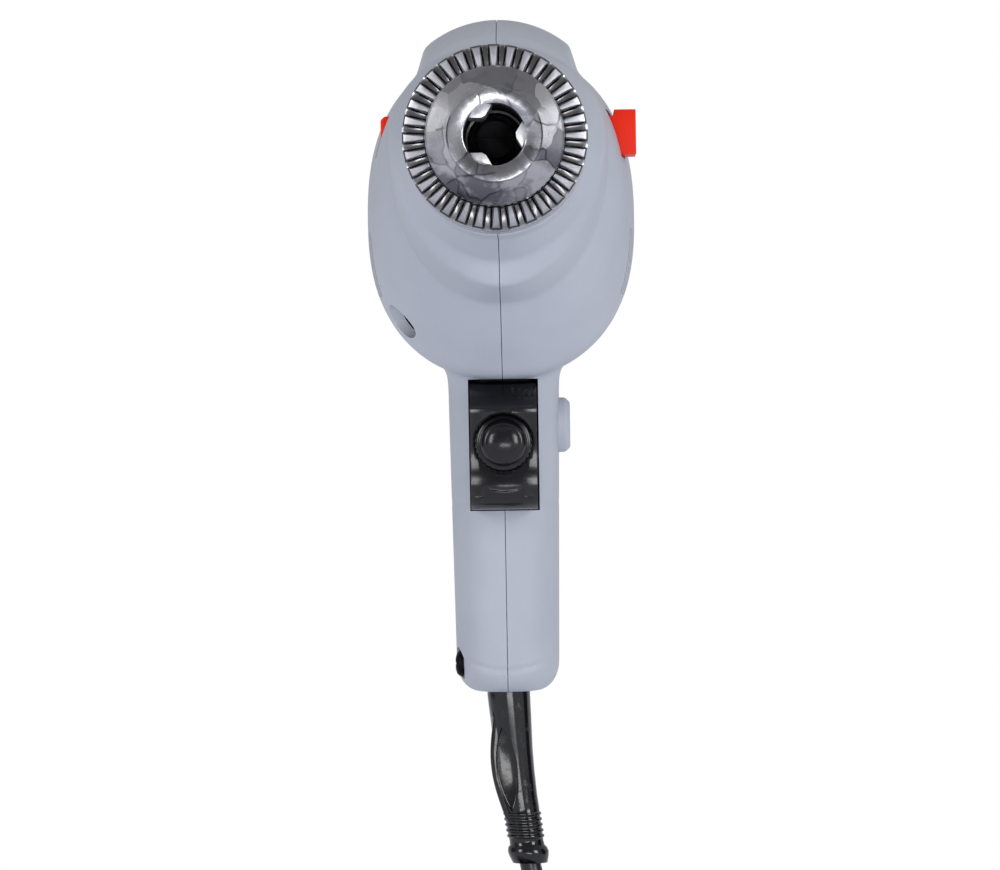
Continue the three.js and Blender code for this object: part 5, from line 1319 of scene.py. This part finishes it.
def chuck_material(name, leaves, patchy):
    """Polished steel that oil has crept over: dark-edged stains, and painted shade on the lower side, in
    the tooth gaps, on the sleeve's chamfer and in the bore.
    """
    recipe = Recipe(name, roughness=0.2, metallic=1.0)
    split = recipe.node("ShaderNodeSeparateXYZ", Vector=recipe.place)
    x, y, z = (split.outputs[letter] for letter in "XYZ")

    def math_node(operation, first, second=0.0):
        made = recipe.tree.nodes.new("ShaderNodeMath")
        made.operation = operation
        recipe.put(first, made.inputs[0])
        recipe.put(second, made.inputs[1])
        return made.outputs["Value"]

    def times(first, second):
        return math_node("MULTIPLY", first, second)

    radius = math_node("SQRT", math_node("ADD", times(x, x), times(z, z)))
    warp = recipe.node("ShaderNodeTexNoise", Vector=recipe.place, Scale=110.0, Detail=2.0)
    bent = recipe.node("ShaderNodeVectorMath", Vector=warp.outputs["Color"])
    bent.operation = "SCALE"
    bent.inputs["Scale"].default_value = 0.007
    moved = recipe.node("ShaderNodeVectorMath")
    moved.operation = "ADD"
    recipe.put(recipe.place, moved.inputs[0])
    recipe.put(bent.outputs["Vector"], moved.inputs[1])
    leaf = recipe.node("ShaderNodeTexVoronoi", Vector=moved.outputs["Vector"], Scale=leaves)
    leaf.feature = "DISTANCE_TO_EDGE"
    patches = recipe.node("ShaderNodeTexVoronoi", Vector=moved.outputs["Vector"], Scale=leaves)
    tone = recipe.node("ShaderNodeSeparateColor", Color=patches.outputs["Color"]).outputs["Red"]
    here = recipe.spread(recipe.noise(95.0, 2.0), 0.5, 0.56, 0.0, min(1.0, 1.6 * patchy))
    outline = times(recipe.spread(leaf.outputs["Distance"], 0.0, 0.06, 1.0, 0.0), here)
    stain = recipe.spread(recipe.noise(150.0, 4.0), 0.47, 0.62)
    # Painted shade: the chrome is darker towards its lower side, and the oil stains are drawn stronger
    # there.
    low = recipe.spread(z, 0.004, -0.015)
    grime_and_low_shade = times(stain, recipe.spread(low, 0.0, 1.0, 0.35 * patchy, 1.2 * patchy))
    tone = recipe.spread(tone, 0.35, 0.9, 0.0, patchy)
    base = recipe.mixed(tone, rgb(196, 196, 202), rgb(104, 104, 112))
    base = recipe.mixed(recipe.spread(low, 0.0, 1.0, 0.0, 0.45), base, rgb(84, 84, 92))
    base = recipe.mixed(grime_and_low_shade, base, rgb(70, 70, 78))
    outline = times(outline, recipe.spread(stain, 0.0, 1.0, 0.35, 0.9))
    base = recipe.mixed(outline, base, rgb(38, 38, 42))
    inside = recipe.spread(radius, 0.0214, 0.0211)
    front = times(inside, recipe.spread(radius, 0.0163, 0.0165))
    # Painted shade in the tooth gaps: the flanks are near black and the deeper floors mid grey.
    teeth_y = SLEEVE_Y * MM
    flank_shade = recipe.spread(y, teeth_y + 0.00095, teeth_y + 0.0012)
    gap_floor_shade = recipe.spread(y, teeth_y + 0.0016, teeth_y + 0.0017)
    base = recipe.mixed(times(flank_shade, front), base, rgb(30, 29, 32))
    base = recipe.mixed(times(gap_floor_shade, front), base, rgb(126, 124, 128))
    # Painted shade: a dark line on the sleeve's outer chamfer in front of the teeth.
    rim_shade = times(recipe.spread(radius, 0.02115, 0.02135),
                recipe.spread(y, teeth_y + 0.002, teeth_y + 0.0016))
    base = recipe.mixed(times(rim_shade, 0.9), base, rgb(40, 38, 42))
    land = times(recipe.spread(radius, 0.0164, 0.0166),
                 recipe.spread(y, teeth_y + 0.0009, teeth_y + 0.0007))
    # Painted shade: a little way into the bore the steel is painted near black.
    bore = times(recipe.spread(radius, 0.0074, 0.0072), recipe.spread(y, 0.0006, 0.0022))
    base = recipe.mixed(times(bore, 0.985), base, rgb(12, 12, 13))
    rings = recipe.noise(1400.0, 2.0, recipe.stretched((0.2, 1.0, 0.2)))
    recipe.bump(rings, 0.2, 0.00005)
    recipe.bump(recipe.noise(420.0, 4.0), 0.16, 0.0001)
    # The painted shade in the bore also takes away the metal's shine.
    recipe.put(recipe.spread(bore, 0.0, 1.0, 1.0, 0.0), recipe.surface.inputs["Metallic"])
    worn = times(land, 0.3)
    return recipe.finish(base, math_node("ADD", recipe.spread(grime_and_low_shade, 0.0, 1.0, 0.2, 0.42), worn))


nose_chrome = chuck_material("nose_chrome", 150.0, 0.75)
chuck_chrome = chuck_material("chuck_chrome", 90.0, 0.2)
jaw_steel = metal("jaw_steel", BARE_STEEL, rgb(120, 120, 128), 0.38, smudge=0.5, smudge_scale=500.0)
black_steel = metal("black_steel", rgb(112, 112, 118), rgb(70, 70, 76), 0.38, smudge=0.5)
# Painted shade: the screws in their deep counterbores, and the screw and spindle deep in the chuck, are
# near black.
recess_shade_steel = metal("recess_shade_steel", rgb(26, 25, 27), rgb(14, 14, 15), 0.5, smudge=0.6, worn=0.0)
ground_steel = metal("ground_steel", rgb(190, 192, 198), rgb(150, 152, 160), 0.22, rings=0.3)
pin_steel = metal("pin_steel", rgb(200, 200, 204), rgb(160, 160, 166), 0.2)
turned_brass = metal("turned_brass", rgb(208, 178, 104), rgb(150, 118, 62), 0.28, rings=0.3)
cast_zinc = metal("cast_zinc", rgb(176, 178, 184), rgb(140, 142, 150), 0.46, smudge=0.5)


def stripes_material(name, axis_scale, colour, shade, roughness, metallic, wave_scale, depth):
    """Sheets or wires side by side: a wave across them makes both colour and bump."""
    recipe = Recipe(name, roughness=roughness, metallic=metallic)
    wave = recipe.node("ShaderNodeTexWave", Vector=recipe.stretched(axis_scale), Scale=wave_scale,
                       Distortion=0.4, Detail=1.0)
    drift = recipe.noise(90.0, 4.0)
    base = recipe.mixed(recipe.spread(wave.outputs["Fac"], 0.0, 0.45), shade, colour)
    base = recipe.mixed(recipe.spread(drift, 0.3, 0.8, 0.0, 0.4), base, shade)
    recipe.bump(wave.outputs["Fac"], 0.7, depth)
    return recipe.finish(base, recipe.spread(drift, 0.3, 0.7, roughness - 0.08, roughness + 0.1))


sheet_stack = stripes_material(
    "sheet_stack", (0.0, 1.0, 0.0), rgb(150, 152, 158), rgb(74, 74, 80), 0.42, 0.9, 320.0, 0.0003)
copper_wire = stripes_material(
    "copper_wire", (1.0, 0.25, 1.0), rgb(196, 112, 62), rgb(120, 54, 24), 0.3, 0.85, 330.0, 0.0004)
graphite = moulded("graphite", rgb(52, 52, 54), rgb(38, 38, 40), 0.62, 0.3, 0.4)

# %% Every piece gets its material
def paint(material, *objects):
    for one in objects:
        one.data.materials.clear()
        one.data.materials.append(material)
        for face in getattr(one.data, "polygons", []):
            face.material_index = 0


paint(shell_nylon, shell_left, shell_right, button)
paint(gloss_black, trigger, dial)
paint(red_satin, knob)
paint(nose_chrome, chuck_body)
paint(chuck_chrome, sleeve)
paint(jaw_steel, *jaws)
paint(boot_rubber, boot)
paint(cord_rubber, mains_cord, tie, plug)
paint(pin_steel, *pins)
# The screw heads are painted near black as the shade of their counterbores.
paint(recess_shade_steel, *screws)

carried_over = {
    gloss_black: ["switch_body", "cooling_fan", "cord_clamp"],
    bearing_rubber: ["rear_bearing_cup"],
    cast_zinc: ["gear_plate"],
    # Painted near black as shade, deep inside the chuck's bore.
    recess_shade_steel: ["chuck_screw", "spindle"],
    turned_brass: ["spindle_bush", "brush_holder_left", "brush_holder_right"],
    black_steel: ["chuck_nut_left", "chuck_nut_right", "turning_ratchet", "fixed_ratchet",
                  "drive_gear", "trigger_spring", "lock_spring", "clamp_screw_1", "clamp_screw_2"],
    ground_steel: ["spindle_bearing_inner", "spindle_bearing_outer", "armature_shaft",
                   "front_bearing_inner", "front_bearing_outer", "rear_bearing_inner",
                   "rear_bearing_outer"],
    sheet_stack: ["armature_core", "field_core"],
    copper_wire: ["armature_winding", "commutator", "field_coil_upper", "field_coil_lower"],
    graphite: ["brush_left", "brush_right"],
}
for material, names in carried_over.items():
    paint(material, *[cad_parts[name] for name in names])

# %% The box of the frame, measured when it was imported
print("cad box", [round(v, 4) for c in cad_box for v in c])
